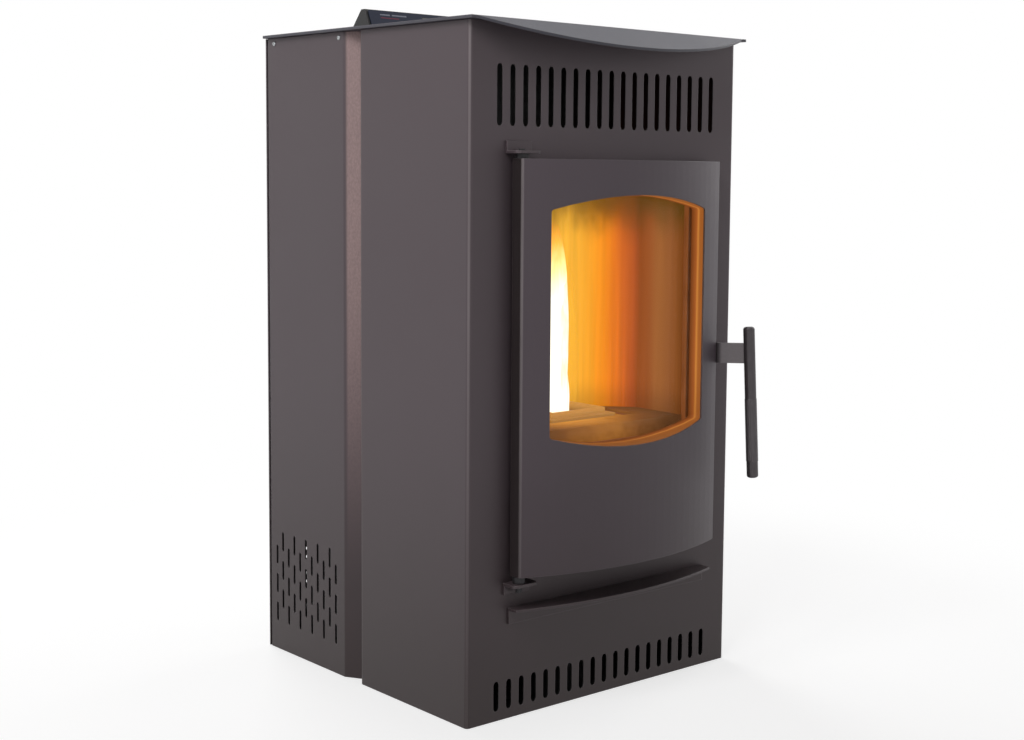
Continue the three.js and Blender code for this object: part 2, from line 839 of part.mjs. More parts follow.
// A hook plate beside the door turns on a bolt. Its tooth rises behind a catch pin in the cabinet
// when the handle is pushed home, and drops clear of it when the handle is pulled.
const latchPlaneX = [latchX, latchX + latchBar];
const hookTipY = latchPivotY + latchHookReach;
const catchY = hookTipY - latchHookTooth - catchRadius - 2.3;
const hookTopZ = latchPivotZ + 4;
const catchZ = hookTopZ + catchRadius + 7.4;
const toothTopZ = catchZ - catchRadius - 0.9;

function latchLever() {
  const low = latchPivotZ - latchBarHeight / 2;
  const high = latchPivotZ + latchBarHeight / 2;
  const frontY = latchPivotY - 9;
  const plate = outlineOf(filleted([
    [frontY, low, 0],
    [latchPivotY + 9, low, 3],
    [hookTipY, latchPivotZ - 6, 3],
    [hookTipY, toothTopZ, 1],
    [hookTipY - latchHookTooth, toothTopZ, 2],
    [hookTipY - latchHookTooth, hookTopZ, 2],
    [latchPivotY + 12, hookTopZ, 4],
    [latchPivotY + 8, high, 3],
    [frontY, high, 0],
  ], 0, 3));
  const hole = alongX(
    disc(latchPivotRadius + 0.3, boreSides, latchPivotY, latchPivotZ),
    latchX - latchBar,
    latchX + 2 * latchBar,
  );
  const arm = bentSheet([
    [latchX + latchBar / 2, frontY + 0.5],
    [latchX + latchBar / 2, frontY - 3],
    [rodX, rodY],
  ], latchBar, 3);
  return cut(alongX(plate, ...latchPlaneX), [hole]).add(alongZ(arm, low, high));
}

// The rod is turned from bar, stands a little proud where it is gripped, and leans forward at its foot.
function rodSolid(grow) {
  const sides = 18;
  const nose = 3;
  const ends = [[0, rodRadius - 3], [1, rodRadius - 1], [nose, rodRadius]];
  const grip = [
    [rodGripLow, rodRadius],
    [rodGripLow + 1, rodRadius + rodGripRise],
    [rodGripHigh - 1, rodRadius + rodGripRise],
    [rodGripHigh, rodRadius],
  ];
  const levels = [
    ...ends.map(([rise, radius]) => [rodLow + rise, radius]),
    ...grip,
    ...ends.slice().reverse().map(([rise, radius]) => [rodHigh - rise, radius]),
  ];
  const rings = levels.map(([z, radius]) => Array.from({ length: sides }, (_, side) => {
    const angle = (2 * Math.PI * side) / sides;
    const r = radius + grow;
    return new THREE.Vector3(r * Math.cos(angle), r * Math.sin(angle), z);
  }));
  const lean = new THREE.Matrix4().makeRotationX(degrees(-rodLean));
  const pivot = new THREE.Matrix4().makeTranslation(rodX, rodY, latchPivotZ)
    .multiply(lean)
    .multiply(new THREE.Matrix4().makeTranslation(0, 0, -latchPivotZ));
  rings.forEach((row) => row.forEach((corner) => corner.applyMatrix4(pivot)));
  return loft(rings);
}
add("latch_lever", finishes.barSteel, latchLever().subtract(rodSolid(seatGap)));
add("handle_rod", finishes.blackSteel, rodSolid(0));

function latchPivotBolt() {
  const shank = alongX(
    disc(latchPivotRadius, boreSides, latchPivotY, latchPivotZ),
    doorRight - doorSkin - 5,
    latchX + latchBar + seatGap,
  );
  const head = alongX(
    disc(latchPivotRadius + 3, 6, latchPivotY, latchPivotZ),
    latchX + latchBar + seatGap,
    latchX + latchBar + 4,
  );
  const nut = alongX(
    disc(latchPivotRadius + 3, 6, latchPivotY, latchPivotZ),
    doorRight - doorSkin - 4.3,
    doorRight - doorSkin - seatGap,
  );
  return join([shank, head, nut]);
}
add("latch_pivot_bolt", finishes.zinc, latchPivotBolt());

// The catch: a pin held by two ears that are folded from a foot on the back of the front panel.
function latchCatch() {
  const footBackY = frontPanelBackY + seatGap;
  const earSheet = 2.5;
  const inner = [hookSlotX[0] - 1, hookSlotX[1] + 1];
  const earLow = catchZ - 9;
  const earHigh = catchZ + 26;
  const earEnd = catchY + 9;
  const ear = (x) => block([x, x + earSheet], [footBackY, earEnd], [earLow, earHigh]);
  const foot = block(
    [inner[0] - earSheet, inner[1] + earSheet],
    [footBackY, footBackY + earSheet],
    [hookSlotZ[1] + 2, earHigh],
  );
  const pin = alongX(disc(catchRadius, boreSides, catchY, catchZ), inner[0] - earSheet, inner[1] + earSheet);
  return join([foot, ear(inner[0] - earSheet), ear(inner[1]), pin]);
}
add("latch_catch", finishes.zinc, latchCatch());

// ---------------------------------------------------------------- firebox

const firebox = group(doorCentreX, 0, 0);
const fireboxFrontY = frontPanelBackY + seatGap;
const mouthFaceY = -frontDepth - 0.7;
const fireboxFloorTop = fireboxLow;
const chuteAxis = degrees(augerSlope);
const potLow = hearthPlateTop + seatGap - potHeight;
const igniterRadius = 5;
const igniterZ = potLow + 24;

const chuteDirection = new THREE.Vector2(-Math.cos(chuteAxis), -Math.sin(chuteAxis));

// The chute is a square duct that slopes down from under the auger's mouth to above the pot.
function chuteSolid(grow, extra = 0) {
  const half = chuteWidth / 2 + grow;
  const side = leftOf(chuteDirection);
  const start = point(augerTopY + chuteTopStep, augerTopZ - chuteTopDrop);
  const at = (along, across) => start.clone()
    .addScaledVector(chuteDirection, along)
    .addScaledVector(side, across);
  const outline = outlineOf([
    at(-extra, -chuteHeight / 2 - grow),
    at(chuteLength + extra, -chuteHeight / 2 - grow),
    at(chuteLength + extra, chuteHeight / 2 + grow),
    at(-extra, chuteHeight / 2 + grow),
  ]);
  return alongX(outline, -half, half);
}

const heatTubeXs = Array.from(
  { length: heatTubeCount },
  (_, index) => (index - (heatTubeCount - 1) / 2) * heatTubePitch,
);

const ductPortY = [-112, -62];
const ductPortZ = [236, 290];

const fireboxOuterHalf = mouthHalf + fireboxWall;
const fireboxJointY = fireboxFrontY + fireboxWall + seatGap;

// The front of the firebox: a frame around its mouth, with a raised land that meets the door's rope.
function fireboxFrame() {
  const plate = block(
    [-fireboxOuterHalf, fireboxOuterHalf],
    [fireboxFrontY, fireboxFrontY + fireboxWall],
    [fireboxLow - fireboxWall, fireboxHigh + fireboxWall],
  );
  const land = block(
    [-mouthFlangeHalf, mouthFlangeHalf],
    [mouthFaceY, fireboxFrontY + fireboxWall],
    [mouthFlangeLow, mouthFlangeHigh],
  );
  const mouth = block(
    [-mouthHalf, mouthHalf],
    [mouthFaceY - 1, fireboxFrontY + 2 * fireboxWall],
    [fireboxLow, fireboxMouthHigh],
  );
  return cut(plate.add(land), [mouth, ...heatTubeHoles()]);
}
add("firebox_frame", finishes.blackSteel, fireboxFrame(), firebox);

function heatTubeHoles() {
  return heatTubeXs.map((x) => alongY(
    disc(heatTubeRadius + seatGap, tubeSides, x, heatTubeZ),
    fireboxFrontY - 1,
    fireboxBackY + 1,
  ));
}

function fireboxShell() {
  const outer = block(
    [-fireboxOuterHalf, fireboxOuterHalf],
    [fireboxJointY, fireboxBackY],
    [fireboxLow - fireboxWall, fireboxHigh + fireboxWall],
  );
  const cavity = block(
    [-mouthHalf, mouthHalf],
    [fireboxJointY - 1, fireboxBackY - fireboxWall],
    [fireboxLow, fireboxHigh],
  );
  const intake = alongY(
    disc(intakePipeRadius + seatGap, fineSides, intakePipeX - doorCentreX, intakePipeZ),
    fireboxBackY - 2 * fireboxWall,
    fireboxBackY + fireboxWall,
  );
  const igniterHole = alongY(
    disc(igniterRadius + seatGap, innerSides, 0, igniterZ),
    fireboxBackY - 2 * fireboxWall,
    fireboxBackY + fireboxWall,
  );
  const fluePort = block([mouthHalf - 1, fireboxOuterHalf + 1], ductPortY, ductPortZ);
  return cut(outer, [
    cavity, ...heatTubeHoles(), intake, igniterHole, fluePort, chuteSolid(seatGap, 20),
  ]);
}
add("firebox_shell", finishes.blackSteel, fireboxShell(), firebox);

// The firebox stands on the base plate on one folded stand.
function fireboxStand() {
  const low = basePlate + seatGap + standSheet / 2;
  const top = fireboxLow - fireboxWall - seatGap - standSheet / 2;
  const section = bentSheet([
    [-standHalf - standFoot, low],
    [-standHalf, low],
    [-standHalf, top],
    [standHalf, top],
    [standHalf, low],
    [standHalf + standFoot, low],
  ], standSheet, panelBend, 2);
  return alongY(section, fireboxFrontY + standInset, fireboxBackY - standInset);
}
add("firebox_stand", finishes.blackSteel, fireboxStand(), firebox);

function fireboxLiner() {
  const half = mouthHalf - linerSheet / 2 - 1.5;
  const front = fireboxFrontY + fireboxWall + 2;
  const backHalf = linerBackWidth / 2;
  const section = bentSheet([
    [half, front],
    [half, linerFoldY],
    [backHalf, linerBackY],
    [-backHalf, linerBackY],
    [-half, linerFoldY],
    [-half, front],
  ], linerSheet, 2, 2);
  const liner = alongZ(section, hearthPlateTop + seatGap, linerHigh);
  return liner.subtract(chuteSolid(seatGap, 20));
}
add("firebox_liner", finishes.firedSteel, fireboxLiner(), firebox);

// The tubes are welded into a tube sheet that lies on the back of the firebox.
function heatExchanger() {
  const sheetY = [fireboxBackY + seatGap, fireboxBackY + seatGap + fireboxWall];
  const tubeEnds = [fireboxFrontY + 0.5, sheetY[1] + 1];
  const reach = mouthHalf - 6;
  const low = heatTubeZ - heatTubeRadius - 8;
  const tubeSheet = block([-reach, reach], sheetY, [low, fireboxHigh]);
  const tubes = heatTubeXs.map((x) => alongY(disc(heatTubeRadius, tubeSides, x, heatTubeZ), ...tubeEnds));
  const bores = heatTubeXs.map((x) => alongY(
    disc(heatTubeRadius - heatTubeWall, tubeSides, x, heatTubeZ),
    tubeEnds[0] - 1,
    tubeEnds[1] + 1,
  ));
  return cut(join([tubeSheet, ...tubes]), bores);
}
add("heat_exchanger", finishes.firedSteel, heatExchanger(), firebox);

const potHalf = [potWidth / 2, potDepth / 2];

// The hearth plate carries the pot and has a slot at each side that lets ash fall to the pan. Its
// front edge is folded down, so nothing shows under it through the window.
function hearthPlateSolid() {
  const half = mouthHalf - seatGap;
  const front = fireboxFrontY + fireboxWall + 2;
  const back = fireboxBackY - fireboxWall - seatGap;
  const plate = rectangle([-half, half], [front, back]);
  const opening = (x, y, corner = 3) => new THREE.Path(filleted([
    [x[0], y[0]], [x[0], y[1]], [x[1], y[1]], [x[1], y[0]],
  ], corner, 2));
  plate.holes.push(opening(
    [-potHalf[0] - 0.6, potHalf[0] + 0.6],
    [potCentreY - potHalf[1] - 0.6, potCentreY + potHalf[1] + 0.6],
    0,
  ));
  const ashSlotX = [potHalf[0] + 22, potHalf[0] + 46];
  const ashSlotY = [potCentreY - 48, potCentreY + 36];
  plate.holes.push(opening(ashSlotX, ashSlotY));
  plate.holes.push(opening([-ashSlotX[1], -ashSlotX[0]], ashSlotY));
  const flange = block(
    [-half, half],
    [front, front + hearthPlate],
    [hearthPlateTop - hearthFlange, hearthPlateTop - hearthPlate / 2],
  );
  return alongZ(plate, hearthPlateTop - hearthPlate, hearthPlateTop).add(flange);
}
add("hearth_plate", finishes.firedSteel, hearthPlateSolid(), firebox);

function burnPot() {
  const [halfX, halfY] = potHalf;
  const flangeLow = hearthPlateTop + seatGap;
  const rimTop = flangeLow + potWall + potUpstand;
  const taper = 6;
  const shell = (inset, low, high) => loft([
    rectangleRing(
      [-halfX + inset + taper, halfX - inset - taper],
      [potCentreY - halfY + inset + taper, potCentreY + halfY - inset - taper],
      low,
    ),
    rectangleRing(
      [-halfX + inset, halfX - inset],
      [potCentreY - halfY + inset, potCentreY + halfY - inset],
      hearthPlateTop,
    ),
    rectangleRing(
      [-halfX + inset, halfX - inset],
      [potCentreY - halfY + inset, potCentreY + halfY - inset],
      high,
    ),
  ]);
  const flange = block(
    [-halfX - potFlange, halfX + potFlange],
    [potCentreY - halfY - potFlange, potCentreY + halfY + potFlange],
    [flangeLow, flangeLow + potWall],
  );
  const holes = [];
  for (let column = -2; column <= 2; column += 1) {
    for (let row = -1; row <= 1; row += 1) {
      holes.push(alongZ(disc(potHole, 6, column * 14, potCentreY + row * 14), potLow - 1, potLow + potWall + 1));
    }
    holes.push(alongY(
      disc(potHole, 6, column * 14, potLow + 26),
      potCentreY - halfY,
      potCentreY - halfY + potWall + taper + 2,
    ));
  }
  const igniterPort = alongY(
    disc(igniterRadius + 1, innerSides, 0, igniterZ),
    potCentreY + halfY - potWall - taper - 2,
    potCentreY + halfY + 1,
  );
  return cut(shell(0, potLow, rimTop).add(flange), [
    shell(potWall, potLow + potWall, rimTop + 1),
    ...holes,
    igniterPort,
  ]);
}
add("burn_pot", finishes.castIron, burnPot(), firebox);

function ashPan() {
  const half = mouthHalf - 12;
  const low = fireboxFloorTop + seatGap;
  const front = fireboxFrontY + fireboxWall + 5;
  const back = fireboxBackY - fireboxWall - 8;
  const tray = block([-half, half], [front, back], [low, low + ashPanHeight]);
  const inside = block(
    [-half + ashPanSheet, half - ashPanSheet],
    [front + ashPanSheet, back - ashPanSheet],
    [low + ashPanSheet, low + ashPanHeight + 1],
  );
  const pull = bentSheet([
    [front - 3.5, low + ashPanHeight - 22],
    [front - 3.5, low + ashPanHeight - 4],
    [front + 0.5, low + ashPanHeight - 4],
  ], ashPanSheet, 0.5, 2);
  return tray.subtract(inside).add(alongX(pull, -36, 36));
}
add("ash_pan", finishes.blackSteel, ashPan(), firebox);

const potBackWallY = potCentreY + potHalf[1];
add(
  "igniter",
  finishes.zinc,
  alongY(disc(igniterRadius, innerSides, 0, igniterZ), potBackWallY - 4, fireboxBackY + 26)
    .add(alongY(disc(igniterRadius + 4, innerSides, 0, igniterZ), fireboxBackY + seatGap, fireboxBackY + 8)),
  firebox,
);

add(
  "high_limit_switch",
  finishes.plastic,
  join([
    alongY(disc(9, 16, 84, 610), fireboxBackY + seatGap, fireboxBackY + 9),
    block([77, 79], [fireboxBackY + 8, fireboxBackY + 17], [606, 614]),
    block([89, 91], [fireboxBackY + 8, fireboxBackY + 17], [606, 614]),
  ]),
  firebox,
);

// ---------------------------------------------------------------- feed

// The auger's own frame: origin at the mouth end of the tube, +Z down the tube to the motor.
const augerFrame = group(doorCentreX, augerTopY, augerTopZ);
augerFrame.rotation.x = degrees(-90 - augerSlope);

const augerMatrix = new THREE.Matrix4().makeTranslation(0, augerTopY, augerTopZ)
  .multiply(new THREE.Matrix4().makeRotationX(degrees(-90 - augerSlope)));
const augerInverse = augerMatrix.clone().invert();
const toAuger = (solid) => solid.transform(augerInverse.elements);
const fromAuger = (solid) => solid.transform(augerMatrix.elements);

const throatX = [-hopperThroatWidth / 2, hopperThroatWidth / 2];
const throatY = [hopperThroatFrontY, hopperThroatBackY];

function hopperSkin(inset, top) {
  const wide = hopperWidth / 2 - inset;
  const shift = -doorCentreX;
  const upperY = [hopperFrontY + inset, hopperBackY - inset];
  const narrowX = [throatX[0] + inset, throatX[1] - inset];
  const narrowY = [throatY[0] + inset, throatY[1] - inset];
  return loft([
    rectangleRing(narrowX, narrowY, hopperThroatZ - 90),
    rectangleRing(narrowX, narrowY, hopperThroatZ),
    rectangleRing([shift - wide, shift + wide], upperY, hopperStraightLow),
    rectangleRing([shift - wide, shift + wide], upperY, top),
  ]);
}

const feedLine = group(doorCentreX, 0, 0);
const tubeEnvelope = fromAuger(alongZ(disc(augerTubeRadius + seatGap, boreSides), -30, augerTubeLength + 30));

function hopperBin() {
  const top = plateLow - seatGap;
  const rim = hopperWidth / 2;
  const flange = block([-doorCentreX - rim, -doorCentreX + rim], [hopperFrontY, hopperBackY], [top - hopperSheet, top]);
  const mouth = block(
    [-doorCentreX - hopperMouthWidth / 2 - 1, -doorCentreX + hopperMouthWidth / 2 + 1],
    [hopperMouthFrontY - 1, hopperMouthBackY + 1],
    [top - 2 * hopperSheet, top + 1],
  );
  const shell = hopperSkin(0, top).subtract(hopperSkin(hopperSheet, top - hopperSheet)).add(flange);
  return cut(shell, [mouth, tubeEnvelope, throatFloor()]);
}

// Everything of the throat that would hang below the middle of the auger tube is cut away.
function throatFloor() {
  return fromAuger(block([-100, 100], [0, 100], [-60, augerTubeLength + 60]));
}
add("hopper_bin", finishes.zinc, hopperBin(), feedLine);

function augerTube() {
  const tube = alongZ(ring(augerTubeRadius, augerTubeRadius - augerTubeWall, boreSides), 0, augerTubeLength);
  const inlet = toAuger(block(
    [throatX[0] + hopperSheet, throatX[1] - hopperSheet],
    [throatY[0] + hopperSheet, throatY[1] - hopperSheet],
    [augerTopZ - augerTubeLength, hopperThroatZ],
  )).subtract(block([-100, 100], [0, 100], [-60, augerTubeLength + 60]));
  const outlet = block([-augerTubeRadius + 6, augerTubeRadius - 6], [8, augerTubeRadius + 4], [10, 48]);
  const cap = alongZ(ring(augerTubeRadius, augerShaftRadius + 0.6, boreSides), 0, 3);
  const plate = outlineOf(filleted([
    [-augerMotorRadius, -augerMotorRadius], [augerMotorRadius, -augerMotorRadius],
    [augerMotorRadius, augerMotorRadius], [-augerMotorRadius, augerMotorRadius],
  ], 6));
  plate.holes.push(new THREE.Path(circlePoints(augerTubeRadius - augerTubeWall, boreSides)));
  const flange = alongZ(plate, augerTubeLength - 3, augerTubeLength);
  return join([cut(tube, [inlet, outlet]), cap, flange]);
}
add("auger_tube", finishes.zinc, augerTube(), augerFrame);

// The screw is one skin over turned sections: a shaft with a tooth that is the flight cut across.
function augerScrew() {
  const start = 8;
  const end = augerTubeLength - 6;
  const perTurn = 8;
  const shaftPoints = 6;
  const steps = Math.round(((end - start) / augerPitch) * perTurn);
  const toothHalf = (Math.PI * augerFlight) / augerPitch;
  const section = (z, turn, crest, crestHalf) => {
    const at = (radius, angle) => new THREE.Vector3(
      radius * Math.cos(angle + turn),
      radius * Math.sin(angle + turn),
      z,
    );
    const around = Array.from({ length: shaftPoints }, (_, index) => {
      const share = index / (shaftPoints - 1);
      return at(augerShaftRadius, toothHalf + share * 2 * (Math.PI - toothHalf));
    });
    return [...around, at(crest, -crestHalf), at(crest, crestHalf)];
  };
  const plain = (z, turn) => section(z, turn, augerShaftRadius, toothHalf / 3);
  const turnAt = (step) => (-2 * Math.PI * step) / perTurn;
  const flights = Array.from({ length: steps + 1 }, (_, step) => {
    const z = start + ((end - start) * step) / steps;
    return section(z, turnAt(step), augerFlightRadius, toothHalf);
  });
  return loft([
    plain(-4, 0),
    plain(start - augerFlight / 2, 0),
    ...flights,
    plain(end + augerFlight / 2, turnAt(steps)),
    plain(augerTubeLength + 1, turnAt(steps)),
  ]);
}
add("auger_screw", finishes.zinc, augerScrew(), augerFrame);

function augerMotor() {
  const start = augerTubeLength + seatGap;
  const radius = augerMotorRadius;
  const gearcase = outlineOf(filleted([
    [-radius, -radius], [radius, -radius], [radius, radius], [-radius, radius],
  ], 10));
  const gearLength = 38;
  const gears = alongZ(gearcase, start, start + gearLength);
  const socket = alongZ(disc(augerShaftRadius + 0.6, innerSides), start - 1, start + 2);
  const stack = alongZ(outlineOf(filleted([
    [-radius + 8, -radius + 4], [radius - 8, -radius + 4], [radius - 8, radius - 4], [-radius + 8, radius - 4],
  ], 4)), start + gearLength, start + augerMotorLength - 14);
  const fan = alongZ(disc(radius - 10, 20), start + augerMotorLength - 14, start + augerMotorLength);
  return join([gears.subtract(socket), stack, fan]);
}
add("auger_motor", finishes.motor, augerMotor(), augerFrame);

function pelletChute() {
  const duct = chuteSolid(0).subtract(chuteSolid(-chuteSheet, 2));
  return duct.subtract(tubeEnvelope);
}
add("pellet_chute", finishes.firedSteel, pelletChute(), firebox);

// ---------------------------------------------------------------- blowers and flues

// A blower scroll in the Y-Z plane about (0, 0): it widens clockwise and blows towards +Y.
function scrollPoints(base, growth, outlet, inset) {
  const start = degrees(60);
  const sweep = degrees(330);
  const steps = 20;
  const spiral = Array.from({ length: steps + 1 }, (_, index) => {
    const t = index / steps;
    const radius = base + growth * t - inset;
    const angle = start - sweep * t;
    return point(radius * Math.cos(angle), radius * Math.sin(angle));
  });
  const roof = base + growth - inset;
  const floor = base * Math.sin(start) + inset;
  return outlineOf([point(outlet, floor), ...spiral, point(outlet, roof)].reverse());
}

function blowerHousing(base, growth, width, eyeSide) {
  const outletEnd = base + 22;
  const eyeRadius = base * 0.55;
  const half = width / 2;
  const outer = alongX(scrollPoints(base, growth, outletEnd, 0), -half, half);
  const inner = alongX(scrollPoints(base, growth, outletEnd + 4, blowerSheet), -half + blowerSheet, half - blowerSheet);
  const eye = alongX(disc(eyeRadius, boreSides), eyeSide > 0 ? 0 : -half - 2, eyeSide > 0 ? half + 2 : 0);
  const shaftHole = alongX(disc(5, innerSides), eyeSide > 0 ? -half - 2 : 0, eyeSide > 0 ? 0 : half + 2);
  return cut(outer, [inner, eye, shaftHole]);
}

// A folded channel that carries a blower on the base plate, its cheeks cut to the scroll.
// down is the blower's own Z direction that points to the floor, centreZ the height of its shaft.
function blowerCradle(base, growth, alongBlower, centreZ, cheekTop, down) {
  const floor = centreZ - basePlate - seatGap;
  const span = (a, b) => [Math.min(down * a, down * b), Math.max(down * a, down * b)];
  const [front, back] = alongBlower;
  const channel = block([-cradleHalf, cradleHalf], alongBlower, span(cheekTop, floor));
  const hollow = block(
    [-cradleHalf + cradleSheet, cradleHalf - cradleSheet],
    [front - 1, back + 1],
    span(cheekTop - 1, floor - cradleSheet),
  );
  const scroll = alongX(
    scrollPoints(base, growth, base + 22, -seatGap),
    -cradleHalf - 1,
    cradleHalf + 1,
  );
  return cut(channel, [hollow, scroll]);
}

// A wheel of flat blades on a back plate, with its shaft reaching out to the motor.
function impeller(radius, width, motorSide) {
  const backX = motorSide * (width / 2);
  const plateEdge = backX - motorSide * 2;
  const span = (a, b) => [Math.min(a, b), Math.max(a, b)];
  const plate = alongX(disc(radius, boreSides), ...span(backX, plateEdge));
  const hub = alongX(disc(9, innerSides), ...span(backX, backX - motorSide * 14));
  const shaft = alongX(disc(4, innerSides), ...span(backX - motorSide, backX + motorSide * 12));
  const blades = Array.from({ length: impellerBlades }, (_, index) => {
    const angle = (2 * Math.PI * index) / impellerBlades;
    const blade = new THREE.BoxGeometry(width - 3, radius * 0.42, 1.4);
    blade.rotateX(degrees(28)).translate(-motorSide * 0.5, radius * 0.76, 0).rotateX(angle);
    return solidOf(blade);
  });
  return join([plate, hub, shaft, ...blades]);
}

function blowerMotor(motorSide, start) {
  const span = (a, b) => [Math.min(a, b), Math.max(a, b)];
  const at = (distance) => motorSide * (start + distance);
  const can = alongX(disc(blowerMotorRadius, boreSides), ...span(at(0), at(blowerMotorLength)));
  const socket = alongX(disc(4.6, innerSides), ...span(at(-1), at(14)));
  const cap = alongX(disc(blowerMotorRadius - 12, boreSides), ...span(at(blowerMotorLength), at(blowerMotorLength + 5)));
  return can.subtract(socket).add(cap);
}

const exhaustBlower = group(exhaustBlowerX, exhaustBlowerY, exhaustBlowerZ);
const exhaustWheel = [exhaustScroll - 10, exhaustBlowerWidth - 12];
add(
  "exhaust_blower_housing",
  finishes.castIron,
  blowerHousing(exhaustScroll, exhaustScrollGrowth, exhaustBlowerWidth, 1),
  exhaustBlower,
);
add("exhaust_impeller", finishes.motor, impeller(...exhaustWheel, -1), exhaustBlower);
add("exhaust_motor", finishes.motor, blowerMotor(-1, exhaustBlowerWidth / 2 + seatGap), exhaustBlower);

add(
  "exhaust_blower_cradle",
  finishes.zinc,
  blowerCradle(exhaustScroll, exhaustScrollGrowth, [-30, 30], exhaustBlowerZ, exhaustScroll, -1),
  exhaustBlower,
);

const roomBlower = group(roomBlowerX, roomBlowerY, roomBlowerZ);
roomBlower.rotation.y = Math.PI;
const roomWheel = [roomScroll - 8, roomBlowerWidth - 12];
add(
  "room_air_blower_housing",
  finishes.zinc,
  blowerHousing(roomScroll, roomScrollGrowth, roomBlowerWidth, 1),
  roomBlower,
);
add("room_air_impeller", finishes.motor, impeller(...roomWheel, -1), roomBlower);
add("room_air_motor", finishes.motor, blowerMotor(-1, roomBlowerWidth / 2 + seatGap), roomBlower);

add(
  "room_air_blower_cradle",
  finishes.zinc,
  blowerCradle(roomScroll, roomScrollGrowth, [-20, 60], roomBlowerZ, roomScroll + 12, 1),
  roomBlower,
);

// The duct from the firebox's side port, back and down to the eye of the exhaust blower.
function exhaustDuct() {
  const low = doorCentreX + mouthHalf + fireboxWall + seatGap;
  const ductWidth = exhaustDuctWidth;
  const [lowZ, highZ] = [ductPortZ[0] - exhaustDuctMargin, ductPortZ[1] + exhaustDuctMargin];
  const frontY = ductPortY[0] - exhaustDuctMargin;
  const [nearY, farY] = [exhaustBlowerY - exhaustDuctHalf, exhaustBlowerY + exhaustDuctHalf];
  const floorZ = exhaustBlowerZ - exhaustDuctHalf;
  const plan = (inset) => outlineOf([
    [frontY + inset, lowZ + inset],
    [frontY + inset, highZ - inset],
    [nearY - inset, highZ - inset],
    [farY - inset, exhaustBlowerZ + exhaustDuctBackRise],
    [farY - inset, floorZ + inset],
    [nearY + inset, floorZ + inset],
    [nearY + inset, exhaustBlowerZ + exhaustDuctFrontRise],
    [exhaustDuctKneeY, lowZ + inset],
  ].map(([y, z]) => point(y, z)));
  const blowerFace = exhaustBlowerX + exhaustBlowerWidth / 2;
  const duct = alongX(plan(0), low, low + ductWidth);
  const hollow = alongX(plan(2), low + 2, low + ductWidth - 2);
  const port = block([low - 1, low + 3], ductPortY, ductPortZ);
  const eye = alongX(disc(exhaustScroll * 0.55, boreSides, exhaustBlowerY, exhaustBlowerZ), low - 1, low + 3);
  const collar = alongX(
    ring(exhaustScroll * 0.55 + 3, exhaustScroll * 0.55, boreSides, exhaustBlowerY, exhaustBlowerZ),
    blowerFace + seatGap,
    low + 1,
  );
  return cut(duct, [hollow, port, eye]).add(collar);
}
add("exhaust_duct", finishes.zinc, exhaustDuct());

// The flue outlet: a square-to-round adapter on the blower and a round stub through the rear panel.
function exhaustPipe() {
  const start = exhaustBlowerY + exhaustScroll + 22 + seatGap;
  const round = start + 34;
  const end = rearDepth + fluePipeReach;
  const sides = fineSides;
  const roof = exhaustBlowerZ + exhaustScroll + exhaustScrollGrowth;
  const floor = exhaustBlowerZ + exhaustScroll * Math.sin(degrees(60));
  const centre = (roof + floor) / 2;
  const squareRing = (y, inset) => Array.from({ length: sides }, (_, side) => {
    const angle = (2 * Math.PI * (side + 0.5)) / sides;
    const halfX = exhaustBlowerWidth / 2 - inset;
    const halfZ = (roof - floor) / 2 - inset;
    const [c, s] = [Math.cos(angle), Math.sin(angle)];
    const stretch = 1 / Math.max(Math.abs(c), Math.abs(s));
    return new THREE.Vector3(exhaustBlowerX + halfX * c * stretch, y, centre + halfZ * s * stretch);
  }).reverse();
  const roundRing = (y, radius) => circlePoints(radius, sides, exhaustBlowerX, flueZ)
    .map((at) => new THREE.Vector3(at.x, y, at.y)).reverse();
  const skin = (inset, lead) => loft([
    squareRing(start - lead, inset),
    roundRing(round, fluePipeRadius - inset),
    roundRing(end + lead, fluePipeRadius - inset),
  ].map((row) => row.slice().reverse()).reverse());
  return skin(0, 0).subtract(skin(fluePipeWall, 1));
}
add("exhaust_pipe", finishes.zinc, exhaustPipe());

add(
  "air_intake_pipe",
  finishes.zinc,
  alongY(
    ring(intakePipeRadius, intakePipeRadius - intakePipeWall, fineSides, intakePipeX, intakePipeZ),
    fireboxBackY - fireboxWall,
    rearDepth + intakePipeReach,
  ),
);

function powerInlet() {
  const faceY = rearDepth + seatGap;
  const flange = outlineOf(filleted([
    [inletX - 24, inletZ - 12], [inletX + 24, inletZ - 12], [inletX + 24, inletZ + 12], [inletX - 24, inletZ + 12],
  ], 4, 3));
  const body = block(
    [inletX - inletWidth / 2 + 0.5, inletX + inletWidth / 2 - 0.5],
    [rearDepth - 24, faceY + 0.5],
    [inletZ - inletHeight / 2 + 0.5, inletZ + inletHeight / 2 - 0.5],
  );
  const socket = alongY(outlineOf(filleted([
    [inletX - 12, inletZ - 8, 1], [inletX + 12, inletZ - 8, 1], [inletX + 12, inletZ + 4, 1],
    [inletX + 8, inletZ + 8, 1], [inletX - 8, inletZ + 8, 1], [inletX - 12, inletZ + 4, 1],
  ], 1, 2)), rearDepth - 14, faceY + 4);
  const blades = [-7, 0, 7].map((x) => block(
    [inletX + x - 1, inletX + x + 1],
    [rearDepth - 15, rearDepth - 1],
    [inletZ - (x === 0 ? 0 : 4), inletZ + (x === 0 ? 4 : 0)],
  ));
  return join([alongY(flange, faceY, faceY + 2.5).add(body).subtract(socket), ...blades]);
}
add("power_inlet", finishes.plastic, powerInlet());

// ---------------------------------------------------------------- hopper lid

const lidHalfWidth = hopperMouthWidth / 2 + lidMargin;
const lidFrontY = hopperMouthFrontY - lidMargin;
const lidBackY = hopperMouthBackY + lidMargin - 1;
const lidTop = cabinetHeight + seatGap + lidHeight;

